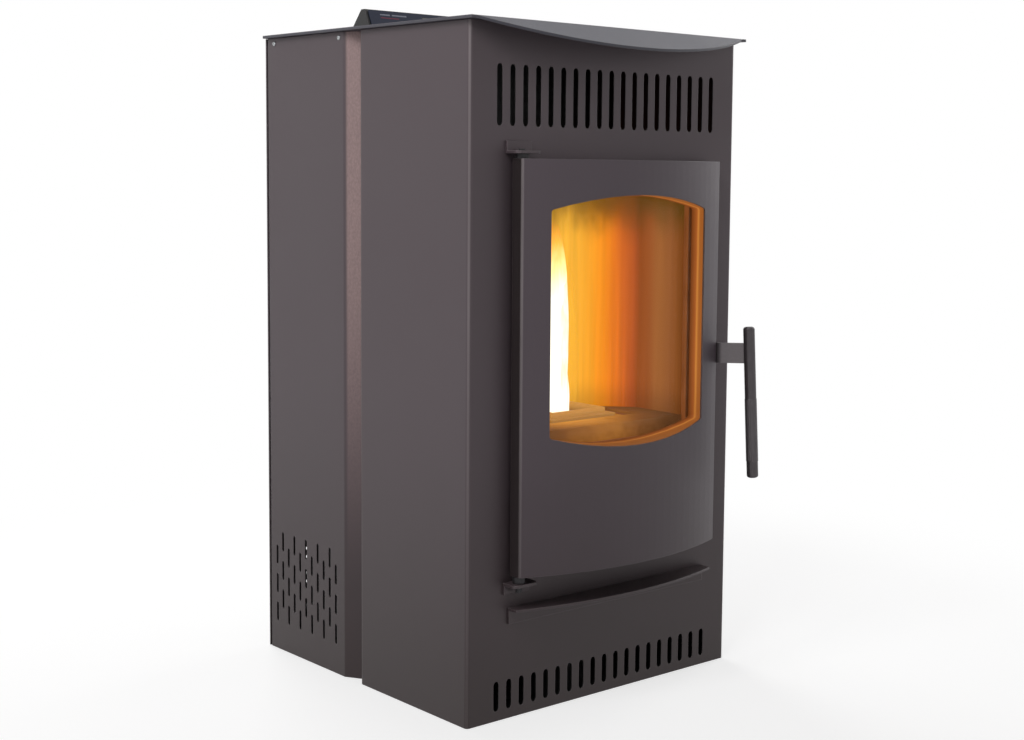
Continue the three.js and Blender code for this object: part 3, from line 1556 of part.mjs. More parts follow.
function hopperLid() {
  const outline = (inset) => outlineOf(filleted([
    [-lidHalfWidth + inset, lidFrontY + inset], [lidHalfWidth - inset, lidFrontY + inset],
    [lidHalfWidth - inset, lidBackY - inset], [-lidHalfWidth + inset, lidBackY - inset],
  ], 6 - inset, 3));
  const pan = alongZ(outline(0), cabinetHeight + seatGap, lidTop);
  const hollow = alongZ(outline(lidSheet), cabinetHeight, lidTop - lidSheet);
  const knuckleX = lidHalfWidth - lidHingeInset;
  const leaves = [-knuckleX, knuckleX].map((x) => {
    const barrel = alongX(
      ring(lidKnuckleRadius, lidHingePinRadius + 0.3, tubeSides, lidHingeY, lidHingeZ),
      x - lidKnuckle / 2,
      x + lidKnuckle / 2,
    );
    const leaf = block(
      [x - lidKnuckle / 2, x + lidKnuckle / 2],
      [lidBackY - 3, lidHingeY],
      [lidTop - lidSheet, lidTop],
    );
    const bore = alongX(disc(lidHingePinRadius + 0.3, tubeSides, lidHingeY, lidHingeZ), x - lidKnuckle, x + lidKnuckle);
    return leaf.add(barrel).subtract(bore);
  });
  return join([pan.subtract(hollow), ...leaves]);
}
add("hopper_lid", finishes.cabinetPaint, hopperLid());

function lidGasket() {
  const outer = lidHalfWidth - lidSheet - 0.5;
  const edge = (inset) => filleted([
    [-outer + inset, lidFrontY + lidSheet + 0.5 + inset], [outer - inset, lidFrontY + lidSheet + 0.5 + inset],
    [outer - inset, lidBackY - lidSheet - 0.5 - inset], [-outer + inset, lidBackY - lidSheet - 0.5 - inset],
  ], 4, 3);
  const outline = outlineOf(edge(0));
  outline.holes.push(new THREE.Path(edge(lidGasketWidth)));
  return alongZ(outline, cabinetHeight + seatGap, lidTop - lidSheet - seatGap);
}
add("hopper_lid_gasket", finishes.rope, lidGasket());

function lidPull() {
  const half = 42;
  const y = lidFrontY + 14;
  const section = bentSheet([
    [y, lidTop + seatGap + 1], [y + 10, lidTop + seatGap + 1], [y + 3, lidTop + 7],
  ], 1.6, 0.8, 3);
  return alongX(section, -half, half);
}
add("hopper_lid_pull", finishes.blackSteel, lidPull());

// The fixed half of the lid's hinge: a leaf along the console with two pairs of knuckles and pins.
function lidHinge() {
  const knuckleX = lidHalfWidth - lidHingeInset;
  const gap = 0.5;
  const leafY = [lidHingeY + 1, lidHingeY + lidKnuckleRadius + 2];
  const reach = knuckleX + 1.5 * lidKnuckle;
  const leaf = block([-reach, reach], leafY, [cabinetHeight + seatGap, cabinetHeight + seatGap + 1.5]);
  const pieces = [-knuckleX, knuckleX].map((x) => {
    const pin = alongX(
      disc(lidHingePinRadius, tubeSides, lidHingeY, lidHingeZ),
      x - 1.5 * lidKnuckle,
      x + 1.5 * lidKnuckle,
    );
    const sides = [-1, 1].map((side) => {
      const near = x + side * (lidKnuckle / 2 + gap);
      const far = x + side * 1.5 * lidKnuckle;
      const [from, to] = [Math.min(near, far), Math.max(near, far)];
      const barrel = alongX(disc(lidKnuckleRadius, tubeSides, lidHingeY, lidHingeZ), from, to);
      const post = block(
        [from, to],
        [lidHingeY + 1, lidHingeY + lidKnuckleRadius],
        [cabinetHeight + seatGap, lidHingeZ],
      );
      return barrel.add(post);
    });
    return join([pin, ...sides]);
  });
  return join([leaf, ...pieces]);
}
add("hopper_lid_hinge", finishes.zinc, lidHinge());

// ---------------------------------------------------------------- console

const consoleBaseZ = cabinetHeight + seatGap;
const consoleTopZ = consoleBaseZ + consoleHeight;
const consoleFrontY = consoleRidgeY - consoleHeight / Math.tan(degrees(consoleTilt));
const faceSlope = consoleHeight / Math.sin(degrees(consoleTilt));

function consoleWedge(inset, lift) {
  const tilt = degrees(consoleTilt);
  const frontIn = inset / Math.sin(tilt);
  return loft([
    rectangleRing(
      [-consoleBaseWidth / 2 + inset * 1.4, consoleBaseWidth / 2 - inset * 1.4],
      [consoleFrontY + frontIn + lift * -0.577, consoleFrontY + consoleBaseDepth - inset * 1.2],
      consoleBaseZ - lift,
    ),
    rectangleRing(
      [-consoleTopWidth / 2 + inset * 1.4, consoleTopWidth / 2 - inset * 1.4],
      [consoleRidgeY + frontIn - inset * 0.577, consoleRidgeY + consoleTopDepth - inset * 1.2],
      consoleTopZ - inset,
    ),
  ]);
}

// The face's own frame: x across, y up the slope, z out of the face, origin at its lower middle.
const faceFrame = group(0, consoleFrontY, consoleBaseZ);
faceFrame.rotation.x = degrees(consoleTilt);
const faceMatrix = new THREE.Matrix4().makeTranslation(0, consoleFrontY, consoleBaseZ)
  .multiply(new THREE.Matrix4().makeRotationX(degrees(consoleTilt)));
const fromFace = (solid) => solid.transform(faceMatrix.elements);

const buttonRow = 13;
const displayRow = [21, 21 + displayHeight];
const buttonXs = Array.from(
  { length: buttonCount },
  (_, index) => (index - (buttonCount - 1) / 2) * buttonPitch,
);
const buttonHole = (x) => alongZ(disc(buttonRadius + buttonFit, innerSides, x, buttonRow), -12, 6);
const displayHole = (grow) => block(
  [-displayWidth / 2 - grow, displayWidth / 2 + grow],
  [displayRow[0] - grow, displayRow[1] + grow],
  [-6, 4],
);

add(
  "console_shell",
  finishes.cabinetPaint,
  cut(
    consoleWedge(0, 0).subtract(consoleWedge(consoleSheet, 2)),
    [...buttonXs.map((x) => fromFace(buttonHole(x))), fromFace(displayHole(1))],
  ),
);

function consoleFace() {
  const lowHalf = consoleBaseWidth / 2 - faceMargin;
  const highHalf = consoleTopWidth / 2 - faceMargin;
  const plate = outlineOf(filleted([
    [-lowHalf, 3], [lowHalf, 3], [highHalf, faceSlope - 2], [-highHalf, faceSlope - 2],
  ], 3, 3));
  return cut(
    alongZ(plate, seatGap, seatGap + faceSheet),
    [...buttonXs.map(buttonHole), displayHole(0)],
  );
}
add("console_face", finishes.navy, consoleFace(), faceFrame);
add("console_display", finishes.plastic, block(
  [-displayWidth / 2 + 0.3, displayWidth / 2 - 0.3],
  [displayRow[0] + 0.3, displayRow[1] - 0.3],
  [-2.4, seatGap + faceSheet],
), faceFrame);

const boardZ = -11;
buttonXs.forEach((x, index) => {
  const cap = alongZ(disc(buttonRadius, innerSides, x, buttonRow), boardZ + 3.2, seatGap + faceSheet + buttonStand);
  add(`button_${index + 1}`, finishes.plastic, cap, faceFrame);
});

// The board stands off the back of the sloping face on four posts.
function controlBoard() {
  const [low, high] = [boardMargin, faceSlope - boardMargin];
  const board = block([-boardHalf, boardHalf], [low, high], [boardZ, boardZ + boardSheet]);
  const [relayWidth, relayDepth, relayHeight] = relaySize;
  const relayLow = high - 2 - relayDepth;
  const relays = [-1, 1].map((side) => {
    const centre = side * (boardHalf - 2 * boardMargin);
    return block(
      [centre - relayWidth / 2, centre + relayWidth / 2],
      [relayLow, relayLow + relayDepth],
      [boardZ - relayHeight, boardZ + boardSheet / 2],
    );
  });
  const posts = [-1, 1].flatMap((side) => [low + boardPost + 1, high - boardPost - 1].map((y) => alongZ(
    disc(boardPost, 8, side * (boardHalf - boardPost - 1), y),
    boardZ + boardSheet / 2,
    -consoleSheet - seatGap,
  )));
  return join([board, ...relays, ...posts]);
}
add("control_board", finishes.board, controlBoard(), faceFrame);

export default stove;
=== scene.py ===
import json
import math
import random

import bmesh
import bpy
from mathutils import Matrix, Vector


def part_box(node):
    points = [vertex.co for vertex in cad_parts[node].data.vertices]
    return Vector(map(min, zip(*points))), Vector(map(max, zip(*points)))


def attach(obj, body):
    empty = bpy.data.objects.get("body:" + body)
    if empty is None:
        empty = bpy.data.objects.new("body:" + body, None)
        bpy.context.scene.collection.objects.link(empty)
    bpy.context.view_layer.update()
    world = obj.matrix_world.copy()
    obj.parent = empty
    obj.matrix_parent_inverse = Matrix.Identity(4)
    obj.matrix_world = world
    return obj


# A pellet stove with its fire lit: painted sheet steel, a glazed door, and what shows behind the
# glass. Metres, +Z up, the door faces -Y.

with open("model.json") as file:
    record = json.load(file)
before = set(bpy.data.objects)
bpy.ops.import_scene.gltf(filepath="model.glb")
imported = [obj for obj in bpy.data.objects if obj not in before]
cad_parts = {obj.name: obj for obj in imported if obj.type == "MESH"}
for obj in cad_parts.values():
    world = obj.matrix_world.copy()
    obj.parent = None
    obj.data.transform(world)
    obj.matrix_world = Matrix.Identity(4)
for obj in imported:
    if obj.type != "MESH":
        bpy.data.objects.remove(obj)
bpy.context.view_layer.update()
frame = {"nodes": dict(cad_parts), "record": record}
NODES = frame["nodes"]


# ---------------------------------------------------------------- places, from the frame


def middle(low, high, axis):
    return (low[axis] + high[axis]) / 2


WRAP_LOW, WRAP_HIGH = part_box("cabinet_front_wrap")
SIDE_FACE = WRAP_HIGH[0]
FRONT_FACE = WRAP_LOW[1]
REAR_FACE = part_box("rear_panel")[1][1]

DOOR_LOW, DOOR_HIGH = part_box("door_skin")
DOOR_X = middle(DOOR_LOW, DOOR_HIGH, 0)
DOOR_HALF = DOOR_HIGH[0] - DOOR_X
DOOR_EDGE_Y = -0.2492  # where the bowed face turns into the folded edges

# The liner's back wall is flat, then slants forward to a fold, and runs straight to the door.
LINER_LOW, LINER_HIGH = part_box("firebox_liner")
CENTRE_X = middle(LINER_LOW, LINER_HIGH, 0)
BACK_HALF = 0.066
FOLD_HALF = LINER_HIGH[0] - CENTRE_X
FOLD_Y = -0.137
SIDE_RUN = 0.083

POT_LOW, POT_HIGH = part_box("burn_pot")
FIRE_Y = middle(POT_LOW, POT_HIGH, 1)
HEARTH_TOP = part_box("hearth_plate")[1][2]

ROD_LOW, ROD_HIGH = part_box("handle_rod")
ROD_X = middle(ROD_LOW, ROD_HIGH, 0)
ROD_Y = -0.2810  # at the height of the latch's pivot
ROD_PIVOT_Z = 0.4335
ROD_LEAN = math.radians(3.5)


# ---------------------------------------------------------------- shader arithmetic


class Wire:
    """A shader output that takes part in Python arithmetic."""

    def __init__(self, finish, socket):
        self.finish = finish
        self.socket = socket

    def __add__(self, other):
        return self.finish.math("ADD", self, other)

    def __sub__(self, other):
        return self.finish.math("SUBTRACT", self, other)

    def __rsub__(self, other):
        return self.finish.math("SUBTRACT", other, self)

    def __mul__(self, other):
        return self.finish.math("MULTIPLY", self, other)

    def __truediv__(self, other):
        return self.finish.math("DIVIDE", self, other)

    def __pow__(self, other):
        return self.finish.math("POWER", self, other)

    __radd__ = __add__


class Finish:
    """The nodes of one material, or of the world when that is the owner."""

    def __init__(self, name, owner=None):
        self.owner = owner or bpy.data.materials.new(name)
        self.owner.use_nodes = True
        self.tree = self.owner.node_tree
        self.tree.nodes.clear()

    def node(self, kind, settings=None, sockets=None, output=0):
        """Adds a node: its settings first, then the values or links of its sockets."""
        made = self.tree.nodes.new(kind)
        for name, value in (settings or {}).items():
            if name == "stops":
                self.set_stops(made.color_ramp, value)
            else:
                setattr(made, name, value)
        for name, value in (sockets or {}).items():
            if isinstance(value, Wire):
                self.tree.links.new(value.socket, made.inputs[name])
            else:
                made.inputs[name].default_value = value
        return Wire(self, made.outputs[output]) if len(made.outputs) else made

    @staticmethod
    def set_stops(ramp, stops):
        while len(ramp.elements) > 1:
            ramp.elements.remove(ramp.elements[-1])
        for index, (place, color) in enumerate(stops):
            stop = ramp.elements[0] if index == 0 else ramp.elements.new(place)
            stop.position = place
            stop.color = (*color, 1)

    def math(self, operation, first, second=0.0):
        return self.node("ShaderNodeMath", {"operation": operation}, {0: first, 1: second})

    def clamp(self, value):
        return self.math("MINIMUM", self.math("MAXIMUM", value, 0.0), 1.0)

    def off(self, value, centre=0.0):
        """How far a value is from centre, either way."""
        return self.math("ABSOLUTE", value - centre)

    def steps(self, value, low, high):
        """0 below low, 1 above high, smooth between them."""
        return self.node(
            "ShaderNodeMapRange",
            {"interpolation_type": "SMOOTHSTEP"},
            {"Value": value, "From Min": low, "From Max": high},
        )

    def between(self, value, rise, fall):
        """Climbs from 0 to 1 over the two values of rise and drops back over those of fall."""
        return self.steps(value, *rise) * (1 - self.steps(value, *fall))

    def mix(self, factor, first, second, blend="MIX"):
        settings = {"data_type": "RGBA", "blend_type": blend}
        sockets = {0: factor, 6: rgba(first), 7: rgba(second)}
        return self.node("ShaderNodeMix", settings, sockets, 2)

    def shaded(self, color, share):
        """The colour times a share that may change over the surface."""
        return self.mix(1.0, color, self.grey(share), "MULTIPLY")

    def ramp(self, value, stops):
        return self.node("ShaderNodeValToRGB", {"stops": stops}, {"Fac": value})

    def grey(self, value):
        return self.node("ShaderNodeCombineColor", {}, {0: value, 1: value, 2: value})

    def place(self):
        return self.node("ShaderNodeTexCoord", output="Object")

    def along(self, vector, axis):
        return self.node("ShaderNodeSeparateXYZ", {}, {0: vector}, axis)

    def stretched(self, vector, scale):
        return self.node("ShaderNodeVectorMath", {"operation": "MULTIPLY"}, {0: vector, 1: scale})

    def noise(self, vector, scale, detail=2.0, roughness=0.5, distortion=0.0):
        sockets = {
            "Vector": vector,
            "Scale": scale,
            "Detail": detail,
            "Roughness": roughness,
            "Distortion": distortion,
        }
        return self.node("ShaderNodeTexNoise", {}, sockets)

    def streaks(self, vector, scale, detail=2.0, roughness=0.5, distortion=0.0):
        """Noise that is drawn out: scale is one number for each axis."""
        return self.noise(self.stretched(vector, scale), 1, detail, roughness, distortion)

    def cells(self, vector, scale, feature="F1"):
        sockets = {"Vector": vector, "Scale": scale}
        return self.node("ShaderNodeTexVoronoi", {"feature": feature}, sockets)

    def soft_edge(self, radius):
        return self.node("ShaderNodeBevel", {"samples": 4}, {"Radius": radius})

    def edge_mask(self, normal):
        """1 along the edges that soft_edge has rounded, 0 on the flats."""
        flat = self.node("ShaderNodeNewGeometry", output="Normal")
        settings = {"operation": "DOT_PRODUCT"}
        dot = self.node("ShaderNodeVectorMath", settings, {0: normal, 1: flat}, "Value")
        return self.clamp((1 - dot) * 6)

    def bump(self, height, strength, distance, normal=None):
        sockets = {"Height": height, "Strength": strength, "Distance": distance}
        if normal is not None:
            sockets["Normal"] = normal
        return self.node("ShaderNodeBump", {}, sockets)

    def surface(self, **sockets):
        """The finish's own shader. Names are the shader's sockets, with _ for a space."""
        named = {name.replace("_", " "): rgba(value) for name, value in sockets.items()}
        return self.done(self.node("ShaderNodeBsdfPrincipled", {}, named))

    def done(self, shader):
        self.node("ShaderNodeOutputMaterial", {}, {"Surface": shader})
        return self.owner


def rgba(value):
    is_color = isinstance(value, tuple) and len(value) == 3
    return (*value, 1.0) if is_color else value


def tone(code):
    """The linear colour of a code such as 4a464c."""
    parts = [int(code[at:at + 2], 16) / 255 for at in (0, 2, 4)]
    return tuple(c / 12.92 if c <= 0.04045 else ((c + 0.055) / 1.055) ** 2.4 for c in parts)


def scaled(color, share):
    return tuple(c * share for c in color)


def length(x, y):
    return (x * x + y * y) ** 0.5


BLACK = (0.0, 0.0, 0.0)


# ---------------------------------------------------------------- painted sheet


def highlit_corner(f, place, corner, cloud):
    """A painted highlight line along one upright edge of the sheet, given as x and y, fainter near the
    floor.
    """
    x, y, z = (f.along(place, axis) for axis in range(3))
    highlight_inner, highlight_outer = 0.0012, 0.0028
    near = 1 - f.steps(length(x - corner[0], y - corner[1]), highlight_inner, highlight_outer)
    return near * (0.5 + cloud) * (0.25 + f.steps(z, 0.05, 0.6))


def sheet_paint(name, code, grain=1100, grit=0.16, rough=0.44, corners=(), marks=()):
    """Baked paint on steel: a fine speckle, a faint cloudiness, painted shade towards the floor and
    edges lightened partly as wear, partly as a painted highlight.

    corners are the upright edges that get a painted highlight line. Each of marks is a function
    that lays painted shade or a painted highlight over part of the paint."""
    f = Finish(name)
    place = f.place()
    base = tone(code)
    speck = f.steps(f.noise(place, grain, 3, 0.65), 0.38, 0.66)
    cloud = f.noise(place, 7, 3)
    mottled = f.mix(speck, scaled(base, 1 - grit), scaled(base, 1 + grit))
    toned = f.mix((cloud - 0.5) * 0.5 + 0.5, scaled(base, 0.86), scaled(base, 1.14))
    color = f.mix(0.45, mottled, toned)

    # painted shade: the colour darkens towards the floor, to the shade colour 4d3c3b
    foot_shade_low, foot_shade_high, waver = -0.06, 0.44, 0.1
    painted_foot_shade = 1 - f.steps(f.along(place, 2) + (cloud - 0.5) * waver, foot_shade_low, foot_shade_high)
    color = f.mix(painted_foot_shade * 0.92, color, scaled(tone("4d3c3b"), 0.46))
    for mark in marks:
        color = mark(f, place, color)

    # the rounded edges are lightened towards a09698, partly as wear and partly as a painted highlight;
    # the corners' lines are a painted highlight
    normal = f.soft_edge(0.0012)
    wear_and_highlight = f.edge_mask(normal)
    for corner in corners:
        wear_and_highlight = f.math("MAXIMUM", wear_and_highlight, highlit_corner(f, place, corner, cloud))
    return f.surface(
        Base_Color=f.mix(f.clamp(wear_and_highlight * 0.45), color, tone("a09698")),
        Roughness=f.clamp(rough + (speck - 0.5) * 0.16 + (cloud - 0.5) * 0.12),
        Metallic=0.12,
        Specular_IOR_Level=0.45,
        Normal=f.bump(speck, 0.22, 0.0003, normal),
    )


def groove_sheen_and_shadow(f, place, color):
    """The slanted wall of the side's groove: a painted sheen high up and a painted shadow along its
    inner edge, next to the front section.
    """
    y, z = f.along(place, 1), f.along(place, 2)
    sheen_front, sheen_back, shadow_back = (0.0125, 0.0165), (0.031, 0.035), (0.0110, 0.0150)
    sheen_grain = f.streaks(place, (420, 420, 260), 3, 0.7)
    painted_sheen = f.between(y, sheen_front, sheen_back) * f.steps(z, 0.12, 0.62)
    painted_root_shadow = 1 - f.steps(y, *shadow_back)
    # painted highlight high up on the groove's wall, towards b59a98
    color = f.mix(f.clamp(painted_sheen * (0.35 + sheen_grain * 0.95)), color, tone("b59a98"))
    # painted shadow along the wall's inner edge, towards 352b2a
    return f.mix(painted_root_shadow * 0.85, color, tone("352b2a"))


def shaded_returns(f, place, color):
    """The folded edges down the door's two sides, darkened as painted shade."""
    beyond = f.steps(f.off(f.along(place, 0), DOOR_X), DOOR_HALF - 0.0012, DOOR_HALF - 0.0004)
    return f.mix(beyond, color, tone("332b2c"))


def front_slot_shade(f, place, color):
    """The walls of the slots through the cabinet's front, painted near black as shade."""
    deep = f.steps(f.along(place, 1), FRONT_FACE + 0.00005, FRONT_FACE + 0.0004)
    inboard = 1 - f.steps(f.off(f.along(place, 0)), SIDE_FACE - 0.005, SIDE_FACE - 0.004)
    return f.mix(deep * inboard, color, tone("121112"))


def side_slot_shade(f, place, color):
    """The walls of the slots through the cabinet's rear sides, painted near black as shade."""
    deep = 1 - f.steps(f.off(f.along(place, 0)), SIDE_FACE - 0.0004, SIDE_FACE - 0.00005)
    behind = f.steps(f.along(place, 1), 0.0385, 0.0395)
    return f.mix(deep * behind, color, tone("121112"))


# ---------------------------------------------------------------- plain finishes


def heat_black(name="heat_black"):
    """Matt black stove paint over folded steel, greyed where it is handled."""
    f = Finish(name)
    place = f.place()
    base = tone("2b292b")
    grain = f.noise(place, 900, 3, 0.6)
    cloud = f.noise(place, 12, 3)
    normal = f.soft_edge(0.001)
    color = f.mix(cloud, scaled(base, 0.75), scaled(base, 1.3))
    return f.surface(
        Base_Color=f.mix(f.edge_mask(normal) * 0.3, color, tone("5c585a")),
        Roughness=f.clamp(0.52 + (grain - 0.5) * 0.25),
        Metallic=0.3,
        Normal=f.bump(grain, 0.25, 0.0003, normal),
    )


def bar_grey():
    """The latch bar: grey paint that is rubbed along its edges."""
    f = Finish("bar_grey")
    base = tone("767072")
    grain = f.streaks(f.place(), (260, 260, 900), 3, 0.6)
    normal = f.soft_edge(0.001)
    color = f.mix(grain, scaled(base, 0.8), scaled(base, 1.2))
    return f.surface(
        Base_Color=f.mix(f.edge_mask(normal) * 0.5, color, tone("a09a9a")),
        Roughness=f.clamp(0.4 + grain * 0.15),
        Metallic=0.4,
        Normal=f.bump(grain, 0.12, 0.0003, normal),
    )


def zinc_plate(name="zinc_plate", dark="8d9194", light="c4c7c8", metal=0.92):
    """Zinc: large faint crystals and fine rolling lines."""
    f = Finish(name)
    place = f.place()
    crystals = f.cells(place, 90)
    lines = f.streaks(place, (40, 1500, 1500))
    return f.surface(
        Base_Color=f.mix(f.clamp(crystals * 0.7 + lines * 0.4), tone(dark), tone(light)),
        Roughness=f.clamp(0.26 + crystals * 0.22),
        Metallic=metal,
        Normal=f.bump(lines, 0.06, 0.0002, f.soft_edge(0.0008)),
    )


def cast_iron():
    """Cast iron, as cast, with a little rust and soot in its hollows."""
    f = Finish("cast_iron")
    place = f.place()
    pits = f.noise(place, 420, 4, 0.7)
    rust = f.steps(f.noise(place, 34, 4, 0.7), 0.56, 0.76)
    color = f.mix(pits, tone("2a2725"), tone("4b4642"))
    return f.surface(
        Base_Color=f.mix(rust * 0.55, color, tone("5e3a26")),
        Roughness=f.clamp(0.66 + pits * 0.3),
        Metallic=0.35,
        Normal=f.bump(pits, 0.6, 0.0009, f.soft_edge(0.0012)),
    )


def rope_cloth():
    """Braided glass-fibre rope: slanted strands that cross in both directions."""
    f = Finish("rope_cloth")
    place = f.place()
    x, y, z = (f.along(place, axis) for axis in range(3))
    strands_per_metre = 1500
    one = f.math("SINE", (x + z + y) * strands_per_metre)
    other = f.math("SINE", (x - z + y) * strands_per_metre)
    fuzz = f.noise(place, 2600, 2, 0.7)
    height = f.clamp(one * other * 0.35 + 0.5 + (fuzz - 0.5) * 0.6)
    return f.surface(
        Base_Color=f.mix(height, tone("1f1e1d"), tone("5a5855")),
        Roughness=0.95,
        Normal=f.bump(height, 0.9, 0.0008),
    )


def motor_case():
    """Rolled motor steel with brushed lines round its length."""
    f = Finish("motor_case")
    place = f.place()
    lines = f.streaks(place, (1700, 60, 60))
    dust = f.noise(place, 60, 4, 0.6)
    shade = f.clamp(lines * 0.6 + dust * 0.5)
    return f.surface(
        Base_Color=f.mix(shade, tone("5f6163"), tone("a0a2a4")),
        Roughness=f.clamp(0.3 + dust * 0.3),
        Metallic=0.8,
        Normal=f.bump(lines, 0.1, 0.0002, f.soft_edge(0.001)),
    )


def moulded_black():
    """Moulded plastic with a fine spark grain."""
    f = Finish("moulded_black")
    grain = f.noise(f.place(), 1500, 2, 0.7)
    return f.surface(
        Base_Color=f.mix(grain, tone("141416"), tone("29292c")),
        Roughness=f.clamp(0.42 + grain * 0.2),
        Normal=f.bump(grain, 0.2, 0.0003, f.soft_edge(0.0006)),
    )


def rule_line(f, place, left, right, low, high):
    """1 inside one plain line on the console's plate, given by its ends in x and in z."""
    soft = 0.0004
    across = f.between(f.along(place, 0), (left - soft, left), (right, right + soft))
    up = f.between(f.along(place, 2), (low - soft, low), (high, high + soft))
    return across * up


def console_navy():
    """The console's plate: navy lacquer with a faint fleck and plain rule lines."""
    f = Finish("console_navy")
    place = f.place()
    fleck = f.noise(place, 1700, 3, 0.7)
    cloud = f.noise(place, 20, 2)
    color = f.mix(f.clamp(fleck * 0.5 + cloud * 0.4), tone("0c1222"), tone("1f2a48"))

    upper, lower = (0.8842, 0.8856), (0.8800, 0.8810)
    for left, right in ((-0.100, -0.084), (-0.080, -0.056), (0.056, 0.100)):
        color = f.mix(rule_line(f, place, left, right, *upper) * 0.7, color, tone("b9bccb"))
    for left, right in ((-0.100, -0.070), (0.070, 0.100)):
        color = f.mix(rule_line(f, place, left, right, *lower) * 0.8, color, tone("8e2f45"))
    return f.surface(
        Base_Color=color,
        Roughness=f.clamp(0.34 + fleck * 0.12),
        Specular_IOR_Level=0.3,
        Normal=f.bump(fleck, 0.08, 0.0002, f.soft_edge(0.0006)),
    )


def display_glass():
    """The dark window over the display, a little smudged."""
    f = Finish("display_glass")
    smudge = f.noise(f.place(), 70, 4, 0.6)
    return f.surface(
        Base_Color=f.mix(smudge, tone("050608"), tone("12151c")),
        Roughness=f.clamp(0.05 + smudge * 0.14),
        Coat_Weight=1.0,
        Coat_Roughness=0.04,
    )


def circuit_green():
    """The control board: lacquered green between paler tracks."""
    f = Finish("circuit_green")
    tracks = f.cells(f.stretched(f.place(), (230, 230, 40)), 1, "DISTANCE_TO_EDGE")
    field = f.steps(tracks, 0.05, 0.09)
    return f.surface(
        Base_Color=f.mix(field, tone("3f8a5c"), tone("17482c")),
        Roughness=f.clamp(0.3 + field * 0.15),
        Normal=f.bump(field, 0.2, 0.0002),
    )


def pane_glass():
    """The door's ceramic glass, with a faint warm tint."""
    f = Finish("pane_glass")
    haze = f.streaks(f.place(), (22, 22, 9), 3)
    return f.surface(
        Base_Color=(1.0, 0.985, 0.95),
        Roughness=f.clamp(haze * 0.03),
        Transmission_Weight=1.0,
        IOR=1.1,
    )


def gripped_bar():
    """The handle's rod: dark turned bar, knurled in fine diamonds where it is held."""
    f = Finish("gripped_bar")
    place = f.place()
    x, y, z = (f.along(place, axis) for axis in range(3))
    ahead = y - ROD_Y + (ROD_PIVOT_Z - z) * math.tan(ROD_LEAN)
    turn = f.math("ARCTAN2", ahead, x - ROD_X)
    held = f.between(z, (0.2875, 0.2895), (0.3715, 0.3735))
    ridges_round, ridges_up = 16, 2200
    one = f.math("SINE", turn * ridges_round + z * ridges_up)
    other = f.math("SINE", turn * ridges_round - z * ridges_up)
    knurl = f.clamp(one * other * 0.5 + 0.5)
    brushed = f.streaks(place, (500, 500, 60), 3, 0.6)
    rub = f.noise(place, 90, 3, 0.6)
    plain = f.mix(f.clamp(brushed * 0.5 + rub * 0.5), tone("3b373a"), tone("625d5f"))
    cut = f.mix(knurl, tone("1b191a"), tone("7a7477"))
    height = f.mix(held, f.grey(brushed * 0.08 + 0.5), f.grey(knurl))
    return f.surface(
        Base_Color=f.mix(held * 0.8, plain, cut),
        Roughness=f.clamp(0.36 + rub * 0.16),
        Metallic=0.55,
        Normal=f.bump(height, 0.7, 0.0006, f.soft_edge(0.0008)),
    )


# ---------------------------------------------------------------- finishes with the fire's light painted on

# the fire's light painted on the liner as a glow, from the corner behind the fire, over the slanting
# wall, to the front
LINER_GLOW = [
    (0.00, tone("fbb93c")),
    (0.07, tone("fab034")),
    (0.16, tone("f8a124")),
    (0.24, tone("f48f16")),
    (0.31, tone("e8781a")),
    (0.38, tone("cf6420")),
    (0.45, tone("ad5020")),
    (0.50, tone("92491a")),
    (0.60, tone("955022")),
    (0.72, tone("9a5e2e")),
    (0.86, tone("8a5228")),
    (1.00, tone("74401a")),
]


def lit_liner():
    """Heat-tinted steel behind the fire, with the fire's light painted on as a glow that fades the
    further it is from the flame.
    """
    f = Finish("lit_liner")
    place = f.place()
    x, y, z = (f.along(place, axis) for axis in range(3))
    slant = f.clamp((f.off(x, CENTRE_X) - BACK_HALF) / (FOLD_HALF - BACK_HALF))
    side = f.clamp((FOLD_Y - y) / SIDE_RUN)
    wave = f.streaks(place, (70, 70, 3.0), 3, 0.6)
    glow = f.ramp(f.clamp(slant * 0.5 + side * 0.5 + (wave - 0.5) * 0.08), LINER_GLOW)
    streak = f.streaks(place, (130, 130, 2.5), 4, 0.65)
    soot = f.streaks(place, (26, 26, 12), 4, 0.6)
    # painted shade: the glow darkens towards 4c3a10 high up, and dims just above the hearth
    painted_top_shade = f.steps(z + (soot - 0.5) * 0.07, 0.572, 0.645)
    painted_foot_shade = 1 - f.steps(z, HEARTH_TOP, HEARTH_TOP + 0.042)
    lit = f.shaded(glow, (1 - painted_foot_shade * 0.3) * (0.72 + streak * 0.56))
    return f.surface(
        Base_Color=f.mix(soot, tone("1c120a"), tone("33210f")),
        Roughness=f.clamp(0.6 + soot * 0.3),
        Specular_IOR_Level=0.1,
        Emission_Color=f.mix(painted_top_shade * 0.85, lit, tone("4c3a10")),
        Emission_Strength=1.0,
        Normal=f.bump(streak, 0.1, 0.0004),
    )


